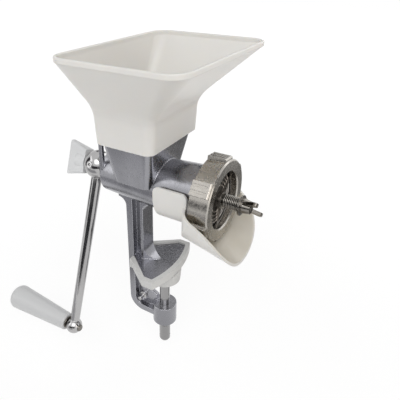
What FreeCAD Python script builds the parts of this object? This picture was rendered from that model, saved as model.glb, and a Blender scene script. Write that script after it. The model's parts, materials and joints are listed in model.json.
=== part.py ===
import FreeCAD, Part
import math
import os
import re
import Sketcher

# Hand grain mill that clamps to a table edge.
# The origin lies on the clamp screw's axis, in the underside of the jaw cover that rests on the table.
# +X points to the front of the mill (the wing nut), +Z is up.  Millimetres and degrees.

V = FreeCAD.Vector

SIZES = {
    # fits
    "run_gap": (0.05, "radial clearance of a shaft in its bearing or a thread in its nut"),
    "sleeve_gap": (0.3, "clearance of a slip-on or seated piece"),
    # shaft line and barrel
    "shaft_z": (92, "shaft axis above the table face"),
    "barrel_rear_x": (-58, "rear face of the barrel"),
    "barrel_rear_r": (20, "outer radius at the rear face"),
    "barrel_front_x": (39.8, "rear face of the grinding chamber"),
    "barrel_front_r": (24.8, "outer radius at the chamber"),
    "auger_bore_r": (17, "bore for the feed screw"),
    "rear_wall": (8, "wall that carries the rear bush"),
    # grinding chamber
    "chamber_r": (26, "inner radius around the burrs"),
    "chamber_wall": (5.2, "wall that carries the ring nut's thread"),
    "chamber_back": (2.5, "back wall of the chamber"),
    "chamber_depth": (5.7, "from the back wall to the pressure disc's seat"),
    # throat
    "throat_x": (-16.2, "centre of the throat's top"),
    "throat_len": (47, "throat top along X"),
    "throat_wid": (68, "throat top along Y"),
    "throat_round": (6, "corner radius of the throat"),
    "throat_wall": (3, "wall at the throat's top"),
    "socket_depth": (12, "straight top of the throat inside the hopper's collar"),
    "throat_foot_x": (-17.8, "centre of the throat's foot"),
    "throat_foot_len": (36.5, "throat foot along X"),
    "throat_foot_wid": (51, "throat foot along Y"),
    "throat_foot_rise": (4, "throat foot above the shaft axis"),
    "mouth_len": (29, "opening into the auger bore along X"),
    "mouth_wid": (30, "opening into the auger bore along Y"),
    # rear side ribs
    "rib_rear_x": (-55, "rear edge of the ribs"),
    "rib_band": (3.4, "width of the upright band along X"),
    "rib_wall": (3, "thickness of a rib along Y"),
    "rib_half": (19, "outer face of a rib from the middle plane"),
    "rib_head": (5, "height of the bar that joins a rib to the throat"),
    # post, jaw, arm and boss
    "post_rear_x": (-36.5, "rear face of the rear flange"),
    "post_rear_wall": (6.5, "thickness of the rear flange"),
    "post_front_x": (-18.5, "front face of the front flange"),
    "post_front_wall": (2.4, "thickness of the front flange"),
    "post_half": (8.5, "half width of the flanges"),
    "web_half": (2.2, "half thickness of the web"),
    "post_round": (8, "concave fillet at the top of the post"),
    "jaw_wall": (5, "thickness of the fan-shaped jaw"),
    "jaw_back_half": (11.5, "half width of the jaw at its back"),
    "jaw_back_x": (-27, "where the jaw starts to widen"),
    "jaw_corner_x": (-3, "where the jaw is widest"),
    "jaw_corner_half": (31, "half width of the jaw at its corners"),
    "jaw_front_x": (10.8, "front of the jaw"),
    "jaw_front_r": (85, "radius of the jaw's front edge"),
    "gusset_reach": (14, "curved gusset from the front flange onto the jaw"),
    "arm_low_z": (-60, "underside of the lower arm"),
    "arm_wall": (6.5, "thickness of the lower flange"),
    "arm_round": (15, "outer corner radius of the lower arm"),
    "arm_web_z": (-36, "top of the web in the lower arm"),
    "boss_r": (12, "radius of the screw boss"),
    "boss_top_z": (-45, "top of the screw boss"),
    "boss_low_z": (-66.5, "lower end of the straight boss"),
    "boss_cone": (6.5, "height of the boss's coned end"),
    "boss_tip_r": (7, "radius at the end of the cone"),
    # cross pin in the web
    "pin_x": (-24.4, "cross pin along X"),
    "pin_z": (-45, "cross pin height"),
    "pin_r": (2, "radius of the cross pin"),
    "pin_half": (9.5, "half length of the cross pin"),
    "pin_collar_r": (4.4, "radius of its collar"),
    "pin_collar_wall": (1.8, "thickness of its collar"),
    # jaw cover and clamp
    "cover_skin": (3, "cover under the jaw"),
    "cover_wall": (4.6, "cover around the jaw"),
    "cover_rim": (2, "cover above the jaw"),
    "cover_edge": (2, "chamfer of the cover's lower edge"),
    "pad_low_r": (15.2, "radius of the pad's lower end"),
    "pad_top_r": (16, "radius of the pad's top"),
    "pad_height": (13.5, "height of the pad"),
    "pad_gap": (0.6, "pad below the jaw cover when closed"),
    "pad_round": (2, "chamfer of the pad's lower edge"),
    "socket_r": (9, "radius of the steel socket in the pad"),
    "socket_height": (6.5, "height of the socket"),
    "screw_r": (5, "radius of the clamp screw"),
    "screw_tip_r": (3.5, "radius of the tip in the socket"),
    "screw_tip": (6.6, "length of the tip"),
    "screw_shoulder": (1.5, "shoulder below the pad"),
    "screw_head_r": (5.7, "radius of the plain lower end"),
    "screw_head": (24, "length of the plain lower end"),
    "screw_head_gap": (0.6, "lower end below the boss when closed"),
    "screw_hole_r": (2.15, "cross hole for a turning bar"),
    "screw_hole_turn": (31, "direction of the cross hole from X"),
    "screw_hole_rise": (9, "cross hole above the screw's lower end"),
    # hopper
    "hopper_x": (2.3, "centre of the hopper's top"),
    "hopper_len": (104.3, "hopper's lip along X"),
    "hopper_wid": (144, "hopper's lip along Y"),
    "hopper_round": (15, "corner radius of the lip"),
    "hopper_wall": (2.3, "wall of the flare"),
    "hopper_high": (72.2, "hopper from the collar's lower edge to the lip"),
    "shoulder_round": (8, "reach of the bend from the collar into the flare"),
    "lip_reach": (0.4, "lip outside the flare"),
    "lip_height": (3.6, "height of the lip"),
    "lip_round": (0.9, "rounding of the lip"),
    "collar_wall": (3.3, "wall of the collar around the throat"),
    "collar_high": (29, "height of the collar"),
    "collar_swell": (1.4, "how far the collar widens up to the flare"),
    "collar_round": (7, "corner radius of the collar"),
    "collar_lift": (41, "collar's lower edge above the shaft axis"),
    # ring nut
    "ring_rear_r": ("=chamber_r + chamber_wall + 2", "skirt radius at the rear"),
    "ring_front_r": ("=ring_rear_r + 0.8", "skirt radius at the front"),
    "ring_lip": (5.7, "thickness of the ring's front lip"),
    "ring_open_r": ("=chamber_r - 1.8", "opening of the ring"),
    "ring_edge": (1, "chamfer of the front edges"),
    "lug_r": ("=ring_rear_r + 2.8", "radius over the lugs"),
    "lug_wid": (12, "width of a lug"),
    "lug_turn": (-6.5, "first lug from the top, in degrees"),
    "lug_flute": (0.9, "depth of the flutes on a lug"),
    # pressure disc
    "disc_rim_r": ("=chamber_r + 3.2", "outer radius of the disc"),
    "disc_rim": (3.3, "thickness of the disc's rim"),
    "disc_rim_in_r": ("=chamber_r - 0.8", "inner radius of the raised rim"),
    "disc_web": (1.7, "thickness of the disc's web"),
    "disc_hub_r": (7, "radius of the hub"),
    "disc_hub": (6.4, "length of the hub"),
    "disc_ridge_r": (11.4, "radius of the innermost ridge"),
    "disc_ridge_step": (3, "from ridge to ridge"),
    "disc_ridge": (1, "height of a ridge"),
    "fin_wall": (2, "thickness of a fin"),
    "fin_tip": (1, "height of a fin at the rim"),
    # burrs
    "burr_r": (25.2, "radius of the burrs"),
    "fixed_burr_wall": (2.2, "thickness of the fixed burr"),
    "turn_burr_wall": (2.4, "thickness of the rotating burr"),
    "burr_gap": (0.3, "gap between the burrs"),
    "burr_hole_r": (8, "hole of the fixed burr"),
    "burr_groove": (0.6, "depth of the grinding grooves"),
    "burr_screw_r": (1.5, "radius of a burr screw"),
    "burr_screw_head_r": (2.7, "radius of its countersunk head"),
    "burr_screw_pitch_r": (14.2, "radius of the screw circle"),
    "drive_pin_r": (1.5, "radius of a drive pin"),
    "drive_pin_pitch_r": (12, "radius of the drive pin circle"),
    "drive_pin": (4.4, "length of a drive pin"),
    # feed screw
    "auger_core_r": (9, "radius of the feed screw's core"),
    "auger_r": (16.2, "radius over the flight"),
    "auger_pitch": (21, "pitch of the flight"),
    "auger_flight": (3, "thickness of the flight"),
    "auger_rear_gap": (1.2, "core behind which the rear wall stands"),
    "auger_flange_r": (15, "radius of the front flange"),
    "auger_flange": (4, "thickness of the front flange"),
    "auger_cone": (3, "cone from the core up to the flange"),
    "auger_pin_r": (1.5, "radius of the cross pin through the core"),
    "auger_tail": (8, "plain rear end of the core, drilled for the cross pin"),
    # shaft
    "shaft_r": (6, "radius of the shaft"),
    "shaft_front_r": (4, "radius of the front journal"),
    "shaft_thread_r": (3, "radius of the front thread"),
    "shaft_tail_r": (4, "radius of the rear thread"),
    "shaft_tail": (7.5, "length of the rear thread"),
    "shaft_end_x": (79.4, "front end of the shaft"),
    "bush_wall": (3, "wall of the rear bush"),
    "front_bush_wall": (1.4, "wall of the front bush"),
    # adjuster
    "washer_wall": (1, "thickness of the hub washer"),
    "washer_r": (6.2, "radius of the hub washer"),
    "spring_room": (14.6, "space for the spring"),
    "spring_wire": (1, "wire diameter"),
    "spring_mean_r": (5.2, "mean radius of the coils"),
    "spring_turns": (6, "full turns"),
    "spring_seat": (0.3, "wire ends from the washers"),
    "spring_washer_r": (8.4, "radius of the front washer"),
    "spring_washer_wall": (1.2, "thickness of the front washer"),
    "wing_hub_r": (6, "radius of the wing nut's foot"),
    "wing_top_r": (5, "radius of the wing nut's front"),
    "wing_hub": (7.5, "length of the wing nut's hub"),
    "wing_reach": (13.2, "radius over the wings"),
    "wing_wall": (2.6, "thickness of a wing"),
    "wing_lean": (7.4, "how far a wing tip reaches in front of the hub"),
    "wing_tip": (2.4, "radius of a wing's round tip"),
    "wing_turn": (132, "turn of the wings about the shaft"),
    # crank
    "crank_lean": (20.2, "lean of the arm from straight down"),
    "crank_x": (-73, "middle plane of the crank"),
    "crank_reach": (168.3, "from the shaft to the grip's axle"),
    "hub_r": (13.7, "radius of the hub ball"),
    "hub_flat": (12, "flat ends of the hub from its middle"),
    "arm_top_r": (5.2, "arm radius at the hub"),
    "arm_low_r": (4.6, "arm radius at the small ball"),
    "ball_r": (8.1, "radius of the small ball"),
    "ball_flat": (7, "flat of the small ball under the grip"),
    "set_screw_r": (3, "radius of the set screw"),
    "set_screw_proud": (0.4, "set screw beyond the ball"),
    "set_socket_r": (1.6, "key socket of the set screw"),
    "set_socket": (2.5, "depth of the key socket"),
    # knob
    "knob_gap": (0.3, "knob behind the hub"),
    "knob_len": (21.5, "length of the knob"),
    "knob_foot_half": (11.6, "half width at the hub"),
    "knob_foot_wall": (13, "thickness at the hub"),
    "knob_tip_half": (17, "half width at the end"),
    "knob_tip_wall": (7.5, "thickness at the end"),
    "knob_round": (2.4, "edge radius of the knob"),
    "insert_r": (4.9, "radius of the knob's insert"),
    "insert_len": (9, "length of the knob's insert"),
    # grip
    "axle_r": (3.5, "radius of the grip's axle"),
    "axle_proud": (0.5, "axle end beyond the small ball"),
    "grip_washer_r": (6.4, "radius of the grip's washer"),
    "grip_washer_wall": (1, "thickness of the grip's washer"),
    "grip_gap": (0.2, "play beside the washer"),
    "grip_len": (75.5, "length of the grip"),
    "grip_near_r": (8.6, "grip radius at the crank"),
    "grip_far_r": (13.2, "grip radius at the far end"),
    "grip_round": (6, "rounding of the far end"),
    "grip_bore": (64, "depth of the grip's bore"),
    # flour guard
    "guard_wall": (2.2, "wall of the guard"),
    "saddle_rear_x": (5, "rear edge of the saddle"),
    "saddle_rise": (11, "ears above the shaft axis"),
    "ear_round": (5, "corner radius of the ears"),
    "chute_rear_x": (36, "rear wall of the chute"),
    "chute_front_x": (79, "front edge of the chute"),
    "chute_round": (14, "corner radius of the chute's rear, seen from above"),
    "chute_r": ("=lug_r + 2.2", "inner radius of the chute"),
    "chute_slope": (15, "slope of the chute"),
    "chute_low_z": ("=shaft_z - chute_r - 12.3", "chute's lowest point"),
    "chute_rim_x": (19.3, "centre of the rim's curve along X"),
    "chute_rim_z": ("=shaft_z - 56.8", "centre of the rim's curve"),
    "chute_rim_r": (58.8, "radius of the rim's curve"),
}
N = {name: value for name, (value, note) in SIZES.items()}
LUGS = 6
SHOULDER_STEPS = 6
FINS = 3
WING_TIP_STEPS = 8
WING_SWEEP = 31
RIDGES = 4
GROOVES = 18
BURR_SCREWS = 3
DRIVE_PINS = 2

doc = FreeCAD.newDocument("grain_mill")
sheet = doc.addObject("Spreadsheet::Sheet", "sz")
for row, (name, (value, note)) in enumerate(SIZES.items(), 1):
    sheet.set(f"A{row}", name)
    sheet.set(f"B{row}", str(value))
    sheet.setAlias(f"B{row}", name)
    sheet.set(f"C{row}", note)
doc.recompute()

WORD = re.compile(r"[a-z]\w*")
nodes = []


def cell(text):
    """Point each size named in a formula at its cell of the sheet."""
    return WORD.sub(lambda m: "sz." + m.group() if m.group() in SIZES else m.group(), str(text))


def bind(obj, **formulas):
    for prop, text in formulas.items():
        obj.setExpression(prop, cell(text))
    return obj


def at(obj, x=0, y=0, z=0):
    """Place an object with formulas, keeping its rotation."""
    for axis, text in zip("xyz", (x, y, z)):
        obj.setExpression(f"Placement.Base.{axis}", cell(text))
    return obj


def turn(obj, axis, degrees):
    obj.Placement = FreeCAD.Placement(obj.Placement.Base, FreeCAD.Rotation(V(*axis), degrees))
    return obj


def box(name, x0, x1, y0, y1, z0, z1):
    obj = doc.addObject("Part::Box", name)
    bind(obj, Length=f"({x1}) - ({x0})", Width=f"({y1}) - ({y0})", Height=f"({z1}) - ({z0})")
    return at(obj, x0, y0, z0)


def rod(name, axis, radius, start, length, x=0, y=0, z=0):
    """A cylinder along one axis, starting at a place on that axis."""
    obj = doc.addObject("Part::Cylinder", name)
    bind(obj, Radius=radius, Height=length)
    if axis == "x":
        turn(obj, (0, 1, 0), 90)
        return at(obj, start, y, z)
    if axis == "y":
        turn(obj, (1, 0, 0), -90)
        return at(obj, x, start, z)
    return at(obj, x, y, start)


def ball(name, radius, x=0, y=0, z=0):
    obj = doc.addObject("Part::Sphere", name)
    bind(obj, Radius=radius)
    return at(obj, x, y, z)


def fuse(name, *shapes):
    obj = doc.addObject("Part::MultiFuse", name)
    obj.Shapes = list(shapes)
    obj.Refine = True
    return obj


def common(name, *shapes):
    obj = doc.addObject("Part::MultiCommon", name)
    obj.Shapes = list(shapes)
    return obj


def cut(name, base, *tools):
    obj = doc.addObject("Part::Cut", name)
    obj.Base = base
    obj.Tool = tools[0] if len(tools) == 1 else fuse(name + "_tools", *tools)
    obj.Refine = True
    return obj


def outline(name, points, upright=True):
    """A closed sketch whose corners are formulas, standing in the XZ plane or lying in XY."""
    sketch = doc.addObject("Sketcher::SketchObject", name)
    if upright:
        turn(sketch, (1, 0, 0), 90)
    count = len(points)
    guess = [V(50 * math.cos(2 * math.pi * i / count), 50 * math.sin(2 * math.pi * i / count), 0)
             for i in range(count)]
    for i in range(count):
        sketch.addGeometry(Part.LineSegment(guess[i], guess[(i + 1) % count]), False)
    for i in range(count):
        sketch.addConstraint(Sketcher.Constraint("Coincident", i, 2, (i + 1) % count, 1))
    for i, corner in enumerate(points):
        for kind, text, start in zip(("DistanceX", "DistanceY"), corner, guess[i]):
            index = sketch.addConstraint(Sketcher.Constraint(kind, -1, 1, i, 1, start))
            sketch.setExpression(f"Constraints[{index}]", cell(text))
    return sketch


def slab(name, points, y0, y1):
    """An upright outline in X and Z, extruded along Y."""
    obj = doc.addObject("Part::Extrusion", name)
    obj.Base = outline(name + "_outline", points)
    obj.DirMode = "Custom"
    obj.Dir = V(0, 1, 0)
    obj.Solid = True
    bind(obj, LengthFwd=y1, LengthRev=f"-({y0})")
    return obj


def sheet_plate(name, points, z0, z1):
    """A flat outline in X and Y, extruded along Z."""
    obj = doc.addObject("Part::Extrusion", name)
    obj.Base = outline(name + "_outline", points, upright=False)
    obj.DirMode = "Custom"
    obj.Dir = V(0, 0, 1)
    obj.Solid = True
    bind(obj, LengthFwd=f"({z1}) - ({z0})")
    return at(obj, 0, 0, z0)


def turned(name, axis, points):
    """A revolved outline: points are (x, radius) about X or (radius, z) about Z."""
    obj = doc.addObject("Part::Revolution", name)
    obj.Source = outline(name + "_outline", points)
    obj.Axis = V(1, 0, 0) if axis == "x" else V(0, 0, 1)
    obj.Base = V(0, 0, 0)
    obj.Angle = 360
    obj.Solid = True
    return obj


def tube_points(x0, x1, inner, outer):
    return [(x0, inner), (x1, inner), (x1, outer), (x0, outer)]


def rounded(name, length, width, radius, x=0, z=0):
    """A lying rectangle with rounded corners, centred on its place."""
    sketch = doc.addObject("Sketcher::SketchObject", name)
    a, b, r = 30.0, 40.0, 6.0
    ends = [(-a + r, -b), (a - r, -b), (a, -b + r), (a, b - r),
            (a - r, b), (-a + r, b), (-a, b - r), (-a, -b + r)]
    centres = [(a - r, -b + r), (a - r, b - r), (-a + r, b - r), (-a + r, -b + r)]
    for i in range(4):
        sketch.addGeometry(Part.LineSegment(V(*ends[2 * i], 0), V(*ends[2 * i + 1], 0)), False)
        circle = Part.Circle(V(*centres[i], 0), V(0, 0, 1), r)
        start = -math.pi / 2 + i * math.pi / 2
        sketch.addGeometry(Part.ArcOfCircle(circle, start, start + math.pi / 2), False)
    for i in range(8):
        sketch.addConstraint(Sketcher.Constraint("Tangent", i, 2, (i + 1) % 8, 1))
    sketch.addConstraint(Sketcher.Constraint("Horizontal", 4))
    sketch.addConstraint(Sketcher.Constraint("Vertical", 6))
    for arc in (3, 5, 7):
        sketch.addConstraint(Sketcher.Constraint("Equal", 1, arc))
    sketch.addConstraint(Sketcher.Constraint("Symmetric", 0, 1, 0, 2, -2))
    sketch.addConstraint(Sketcher.Constraint("Symmetric", 2, 1, 2, 2, -1))
    for constraint, text in ((Sketcher.Constraint("Radius", 1, r), radius),
                             (Sketcher.Constraint("DistanceX", 6, 1, 2, 1, 2 * a), length),
                             (Sketcher.Constraint("DistanceY", 0, 1, 4, 1, 2 * b), width)):
        index = sketch.addConstraint(constraint)
        sketch.setExpression(f"Constraints[{index}]", cell(text))
    return at(sketch, x, 0, z)


def loft(name, *sections):
    obj = doc.addObject("Part::Loft", name)
    obj.Sections = list(sections)
    obj.Solid = True
    obj.Ruled = True
    return obj


def node(label, obj):
    obj.Label = label
    nodes.append(obj)
    return obj


# Places along the shaft that several pieces share.
bore_x = "barrel_rear_x + rear_wall"
chamber_x = "barrel_front_x + chamber_back"
seat_x = f"{chamber_x} + chamber_depth"
disc_front_x = f"{seat_x} + disc_rim"
ring_front_x = f"{disc_front_x} + ring_lip"
hub_front_x = f"{seat_x} + disc_hub"
spring_x = f"{hub_front_x} + washer_wall"
nut_washer_x = f"{spring_x} + spring_room"
wing_x = f"{nut_washer_x} + spring_washer_wall"
fixed_burr_x = f"{seat_x} - fixed_burr_wall"
turn_burr_front_x = f"{fixed_burr_x} - burr_gap"
turn_burr_x = f"{turn_burr_front_x} - turn_burr_wall"
flange_x = f"{turn_burr_x} - auger_flange"
crank_rear_x = "crank_x - hub_flat"
thread_r = "chamber_r + chamber_wall"
pocket_r = "disc_rim_r + sleeve_gap"
bush_r = "shaft_r + run_gap + bush_wall"
front_bush_r = "shaft_front_r + run_gap + front_bush_wall"
collar_z = "shaft_z + collar_lift"
throat_top_z = f"{collar_z} + socket_depth"
throat_foot_z = "shaft_z + throat_foot_rise"
jaw_z = "cover_skin"
jaw_top_z = "cover_skin + jaw_wall"

# Main casting: barrel and chamber.
barrel = turned("barrel", "x", [
    ("barrel_rear_x", 0), ("barrel_front_x + 1", 0), ("barrel_front_x + 1", "barrel_front_r"),
    ("barrel_rear_x + 3", "barrel_rear_r"), ("barrel_rear_x", "barrel_rear_r - 3")])
at(barrel, 0, 0, "shaft_z")
chamber = rod("chamber", "x", thread_r, "barrel_front_x",
              "chamber_back + chamber_depth + disc_rim - sleeve_gap", z="shaft_z")

# Throat: straight at the top inside the collar, then tapering down to the barrel.
throat = loft("throat",
              rounded("throat_a", "throat_len", "throat_wid", "throat_round", "throat_x", throat_top_z),
              rounded("throat_b", "throat_len", "throat_wid", "throat_round", "throat_x", collar_z),
              rounded("throat_c", "throat_foot_len", "throat_foot_wid", "throat_round",
                      "throat_foot_x", throat_foot_z))
throat_inside = loft("throat_inside",
                     rounded("throat_d", "throat_len - 2 * throat_wall", "throat_wid - 2 * throat_wall",
                             "throat_round - throat_wall", "throat_x", f"{throat_top_z} + 1"),
                     rounded("throat_e", "mouth_len", "mouth_wid", "throat_round - throat_wall",
                             "throat_foot_x", "shaft_z - auger_bore_r / 4"))

# Rear side ribs: an upright band from the barrel's rear, joined to the throat by a bar at the top.
ribs = []
for side, name in ((-1, "near"), (1, "far")):
    y0 = "-rib_half" if side < 0 else "rib_half - rib_wall"
    y1 = "rib_wall - rib_half" if side < 0 else "rib_half"
    ribs.append(box(f"rib_{name}", "rib_rear_x", "rib_rear_x + rib_band", y0, y1, "shaft_z", collar_z))
    ribs.append(box(f"rib_bar_{name}", "rib_rear_x", "throat_x - throat_len / 2 + throat_wall", y0, y1,
                    f"{collar_z} - rib_head", collar_z))

# Post: rear flange, web and front flange, flared into the barrel.
post_top = "shaft_z - auger_bore_r"
web_x = "post_rear_x + post_rear_wall - 0.5"
post = [
    box("rear_flange", "post_rear_x", "post_rear_x + post_rear_wall", "-post_half", "post_half",
        "arm_low_z", post_top),
    box("front_flange", "post_front_x - post_front_wall", "post_front_x", "-post_half", "post_half",
        jaw_z, post_top),
    box("post_web", web_x, "post_front_x - post_front_wall / 2", "-web_half", "web_half", jaw_z, post_top),
]
flare_z = "shaft_z - (barrel_rear_r + barrel_front_r) / 2 - post_round + 1"
for name, x0, x1, centre in (
        ("flare_rear", "post_rear_x - post_round", "post_rear_x + 1", "post_rear_x - post_round"),
        ("flare_front", "post_front_x - 1", "post_front_x + post_round", "post_front_x + post_round")):
    block = box(name + "_block", x0, x1, "-post_half", "post_half", flare_z, post_top)
    bite = rod(name + "_bite", "y", "post_round", "-post_half - 1", "2 * post_half + 2", x=centre,
               z=flare_z)
    post.append(cut(name, block, bite))

# Fan-shaped jaw with a curved front edge and a curved gusset from the front flange.
jaw_fan = sheet_plate("jaw_fan", [
    (web_x, "-jaw_back_half"), ("jaw_back_x", "-jaw_back_half"), ("jaw_corner_x", "-jaw_corner_half"),
    ("jaw_front_x + 1", "-jaw_corner_half"), ("jaw_front_x + 1", "jaw_corner_half"),
    ("jaw_corner_x", "jaw_corner_half"), ("jaw_back_x", "jaw_back_half"), (web_x, "jaw_back_half")],
    jaw_z, jaw_top_z)
jaw_disc = rod("jaw_disc", "z", "jaw_front_r", jaw_z, "jaw_wall", x="jaw_front_x - jaw_front_r")
jaw = common("jaw", jaw_fan, jaw_disc)
gusset_block = sheet_plate("gusset_block", [
    ("post_front_x - 1", "-post_half"), ("post_front_x + gusset_reach", "-fin_wall / 2"),
    ("post_front_x + gusset_reach", "fin_wall / 2"), ("post_front_x - 1", "post_half")],
    f"{jaw_top_z} - 1", f"{jaw_top_z} + gusset_reach")
gusset_bite = rod("gusset_bite", "y", "gusset_reach", "-post_half - 1", "2 * post_half + 2",
                  x="post_front_x + gusset_reach", z=f"{jaw_top_z} + gusset_reach")
gusset = cut("gusset", gusset_block, gusset_bite)

# Lower arm: flange with a rounded outer corner, web on its middle, and the screw boss.
arm_flange = box("arm_flange", "post_rear_x", "-boss_r / 2", "-post_half", "post_half",
                 "arm_low_z", "arm_low_z + arm_wall")
arm_web = slab("arm_web", [
    (web_x, f"{jaw_z} + 1"), ("post_front_x", f"{jaw_z} + 1"), ("post_front_x", "arm_web_z + 7"),
    ("post_front_x + 2", "arm_web_z + 2"), ("post_front_x + 6", "arm_web_z"),
    ("-screw_r - 3", "arm_web_z - 2"),
    ("-screw_r - 3", "arm_low_z + 1"), (web_x, "arm_low_z + 1")], "-web_half", "web_half")
boss = turned("boss", "z", [
    (0, "boss_low_z - boss_cone"), ("boss_tip_r", "boss_low_z - boss_cone"), ("boss_r", "boss_low_z"),
    ("boss_r", "boss_top_z"), (0, "boss_top_z")])
corner_block = box("corner_block", "post_rear_x - 1", "post_rear_x + arm_round", "-post_half - 1",
                   "post_half + 1", "arm_low_z - 1", "arm_low_z + arm_round")
corner_round = rod("corner_round", "y", "arm_round", "-post_half - 2", "2 * post_half + 4",
                   x="post_rear_x + arm_round", z="arm_low_z + arm_round")
corner_chip = cut("corner_chip", corner_block, corner_round)
inner_block = box("inner_block", "post_rear_x + post_rear_wall - 1", "post_rear_x + arm_round", "-post_half",
                  "post_half", "arm_low_z + arm_wall - 1", "arm_low_z + arm_round")
inner_bite = rod("inner_bite", "y", "arm_round - post_rear_wall", "-post_half - 1", "2 * post_half + 2",
                 x="post_rear_x + arm_round", z="arm_low_z + arm_round")
inner_round = cut("inner_round", inner_block, inner_bite)

casting_solid = fuse("casting_solid", barrel, chamber, throat, *ribs, *post, jaw, gusset, arm_flange, arm_web,
                     boss, inner_round)
casting = cut(
    "casting", casting_solid, corner_chip, throat_inside,
    rod("auger_bore", "x", "auger_bore_r", bore_x, f"{chamber_x} + 1 - ({bore_x})", z="shaft_z"),
    rod("bush_bore", "x", f"{bush_r} + run_gap", "barrel_rear_x - 1", "rear_wall + 2", z="shaft_z"),
    rod("burr_bore", "x", "chamber_r", chamber_x, "chamber_depth + 1", z="shaft_z"),
    rod("disc_bore", "x", pocket_r, seat_x, "disc_rim + 1", z="shaft_z"),
    rod("screw_bore", "z", "screw_r + run_gap", "boss_low_z - boss_cone - 1",
        "arm_web_z - boss_low_z + boss_cone + 2"),
    rod("pin_bore", "y", "pin_r + run_gap", "-web_half - 1", "2 * web_half + 2", x="pin_x", z="pin_z"))
node("main_casting", casting)

# Cross pin with a collar against the web.
node("cross_pin", fuse(
    "cross_pin_solid",
    rod("cross_pin_rod", "y", "pin_r", "-pin_half", "2 * pin_half", x="pin_x", z="pin_z"),
    rod("cross_pin_collar", "y", "pin_collar_r", "-web_half - pin_collar_wall", "pin_collar_wall",
        x="pin_x", z="pin_z")))

# Hopper: collar over the throat, flare and lip.
flare_top_z = f"{collar_z} + hopper_high - lip_height"
collar_len = "throat_len + 2 * sleeve_gap + 2 * collar_wall"
collar_wid = "throat_wid + 2 * sleeve_gap + 2 * collar_wall"
flare_len = "hopper_len - 2 * lip_reach"
flare_wid = "hopper_wid - 2 * lip_reach"
flare_round = "hopper_round - lip_reach"
flare_high = "(hopper_high - lip_height - collar_high)"
corner_len = f"({collar_len} + 2 * collar_swell)"
corner_wid = f"({collar_wid} + 2 * collar_swell)"
corner_round = "(collar_round + collar_swell)"
shoulder = []
for i in range(SHOULDER_STEPS + 1):
    t = i / SHOULDER_STEPS
    rise = f"shoulder_round * {t * t:.6f} / {flare_high}"
    fall = f"shoulder_round * {(1 - t) ** 2:.6f} * collar_swell / collar_high"
    shoulder.append(rounded(
        f"shoulder_{i}",
        f"{corner_len} + {rise} * ({flare_len} - {corner_len}) - 2 * {fall}",
        f"{corner_wid} + {rise} * ({flare_wid} - {corner_wid}) - 2 * {fall}",
        f"{corner_round} + {rise} * ({flare_round} - {corner_round}) - {fall}",
        f"throat_x + {rise} * (hopper_x - throat_x)",
        f"{collar_z} + collar_high + shoulder_round * {2 * t - 1:.6f}"))
hopper_skin = loft("hopper_skin",
                   rounded("hopper_a", collar_len, collar_wid, "collar_round", "throat_x", collar_z),
                   *shoulder,
                   rounded("hopper_c", flare_len, flare_wid, flare_round, "hopper_x", flare_top_z),
                   rounded("hopper_d", flare_len, flare_wid, flare_round, "hopper_x",
                           f"{flare_top_z} + lip_height / 2"))
hopper_lip = loft("hopper_lip",
                  rounded("lip_a", "hopper_len", "hopper_wid", "hopper_round", "hopper_x", flare_top_z),
                  rounded("lip_b", "hopper_len", "hopper_wid", "hopper_round", "hopper_x",
                          f"{flare_top_z} + lip_height"))
hopper_inside = loft("hopper_inside",
                     rounded("hopper_e", "throat_len - 2 * throat_wall", "throat_wid - 2 * throat_wall",
                             "throat_round - throat_wall", "throat_x", f"{throat_top_z} - 1"),
                     rounded("hopper_f", f"{collar_len} + 2 * collar_swell - 2 * collar_wall",
                             f"{collar_wid} + 2 * collar_swell - 2 * collar_wall",
                             "collar_round + collar_swell - collar_wall", "throat_x",
                             f"{collar_z} + collar_high"),
                     rounded("hopper_g", f"{flare_len} - 2 * hopper_wall", f"{flare_wid} - 2 * hopper_wall",
                             "hopper_round - lip_reach - hopper_wall", "hopper_x", flare_top_z),
                     rounded("hopper_h", f"{flare_len} - 2 * hopper_wall", f"{flare_wid} - 2 * hopper_wall",
                             "hopper_round - lip_reach - hopper_wall", "hopper_x",
                             f"{flare_top_z} + lip_height + 1"))
hopper_socket = loft("hopper_socket",
                     rounded("socket_a", "throat_len + 2 * sleeve_gap", "throat_wid + 2 * sleeve_gap",
                             "throat_round + sleeve_gap", "throat_x", f"{collar_z} - 1"),
                     rounded("socket_b", "throat_len + 2 * sleeve_gap", "throat_wid + 2 * sleeve_gap",
                             "throat_round + sleeve_gap", "throat_x", throat_top_z))
hopper_sharp = cut("hopper_sharp", fuse("hopper_outside", hopper_skin, hopper_lip), hopper_inside,
                   hopper_socket)
doc.recompute()
lip_top = N["shaft_z"] + N["collar_lift"] + N["hopper_high"]
hopper = doc.addObject("Part::Fillet", "hopper_rounded")
hopper.Base = hopper_sharp
hopper.Edges = [(i, N["lip_round"], N["lip_round"]) for i, edge in enumerate(hopper_sharp.Shape.Edges, 1)
                if all(abs(v.Z - lip_top) < 1e-3 for v in edge.Vertexes)]
node("hopper", hopper)

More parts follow.
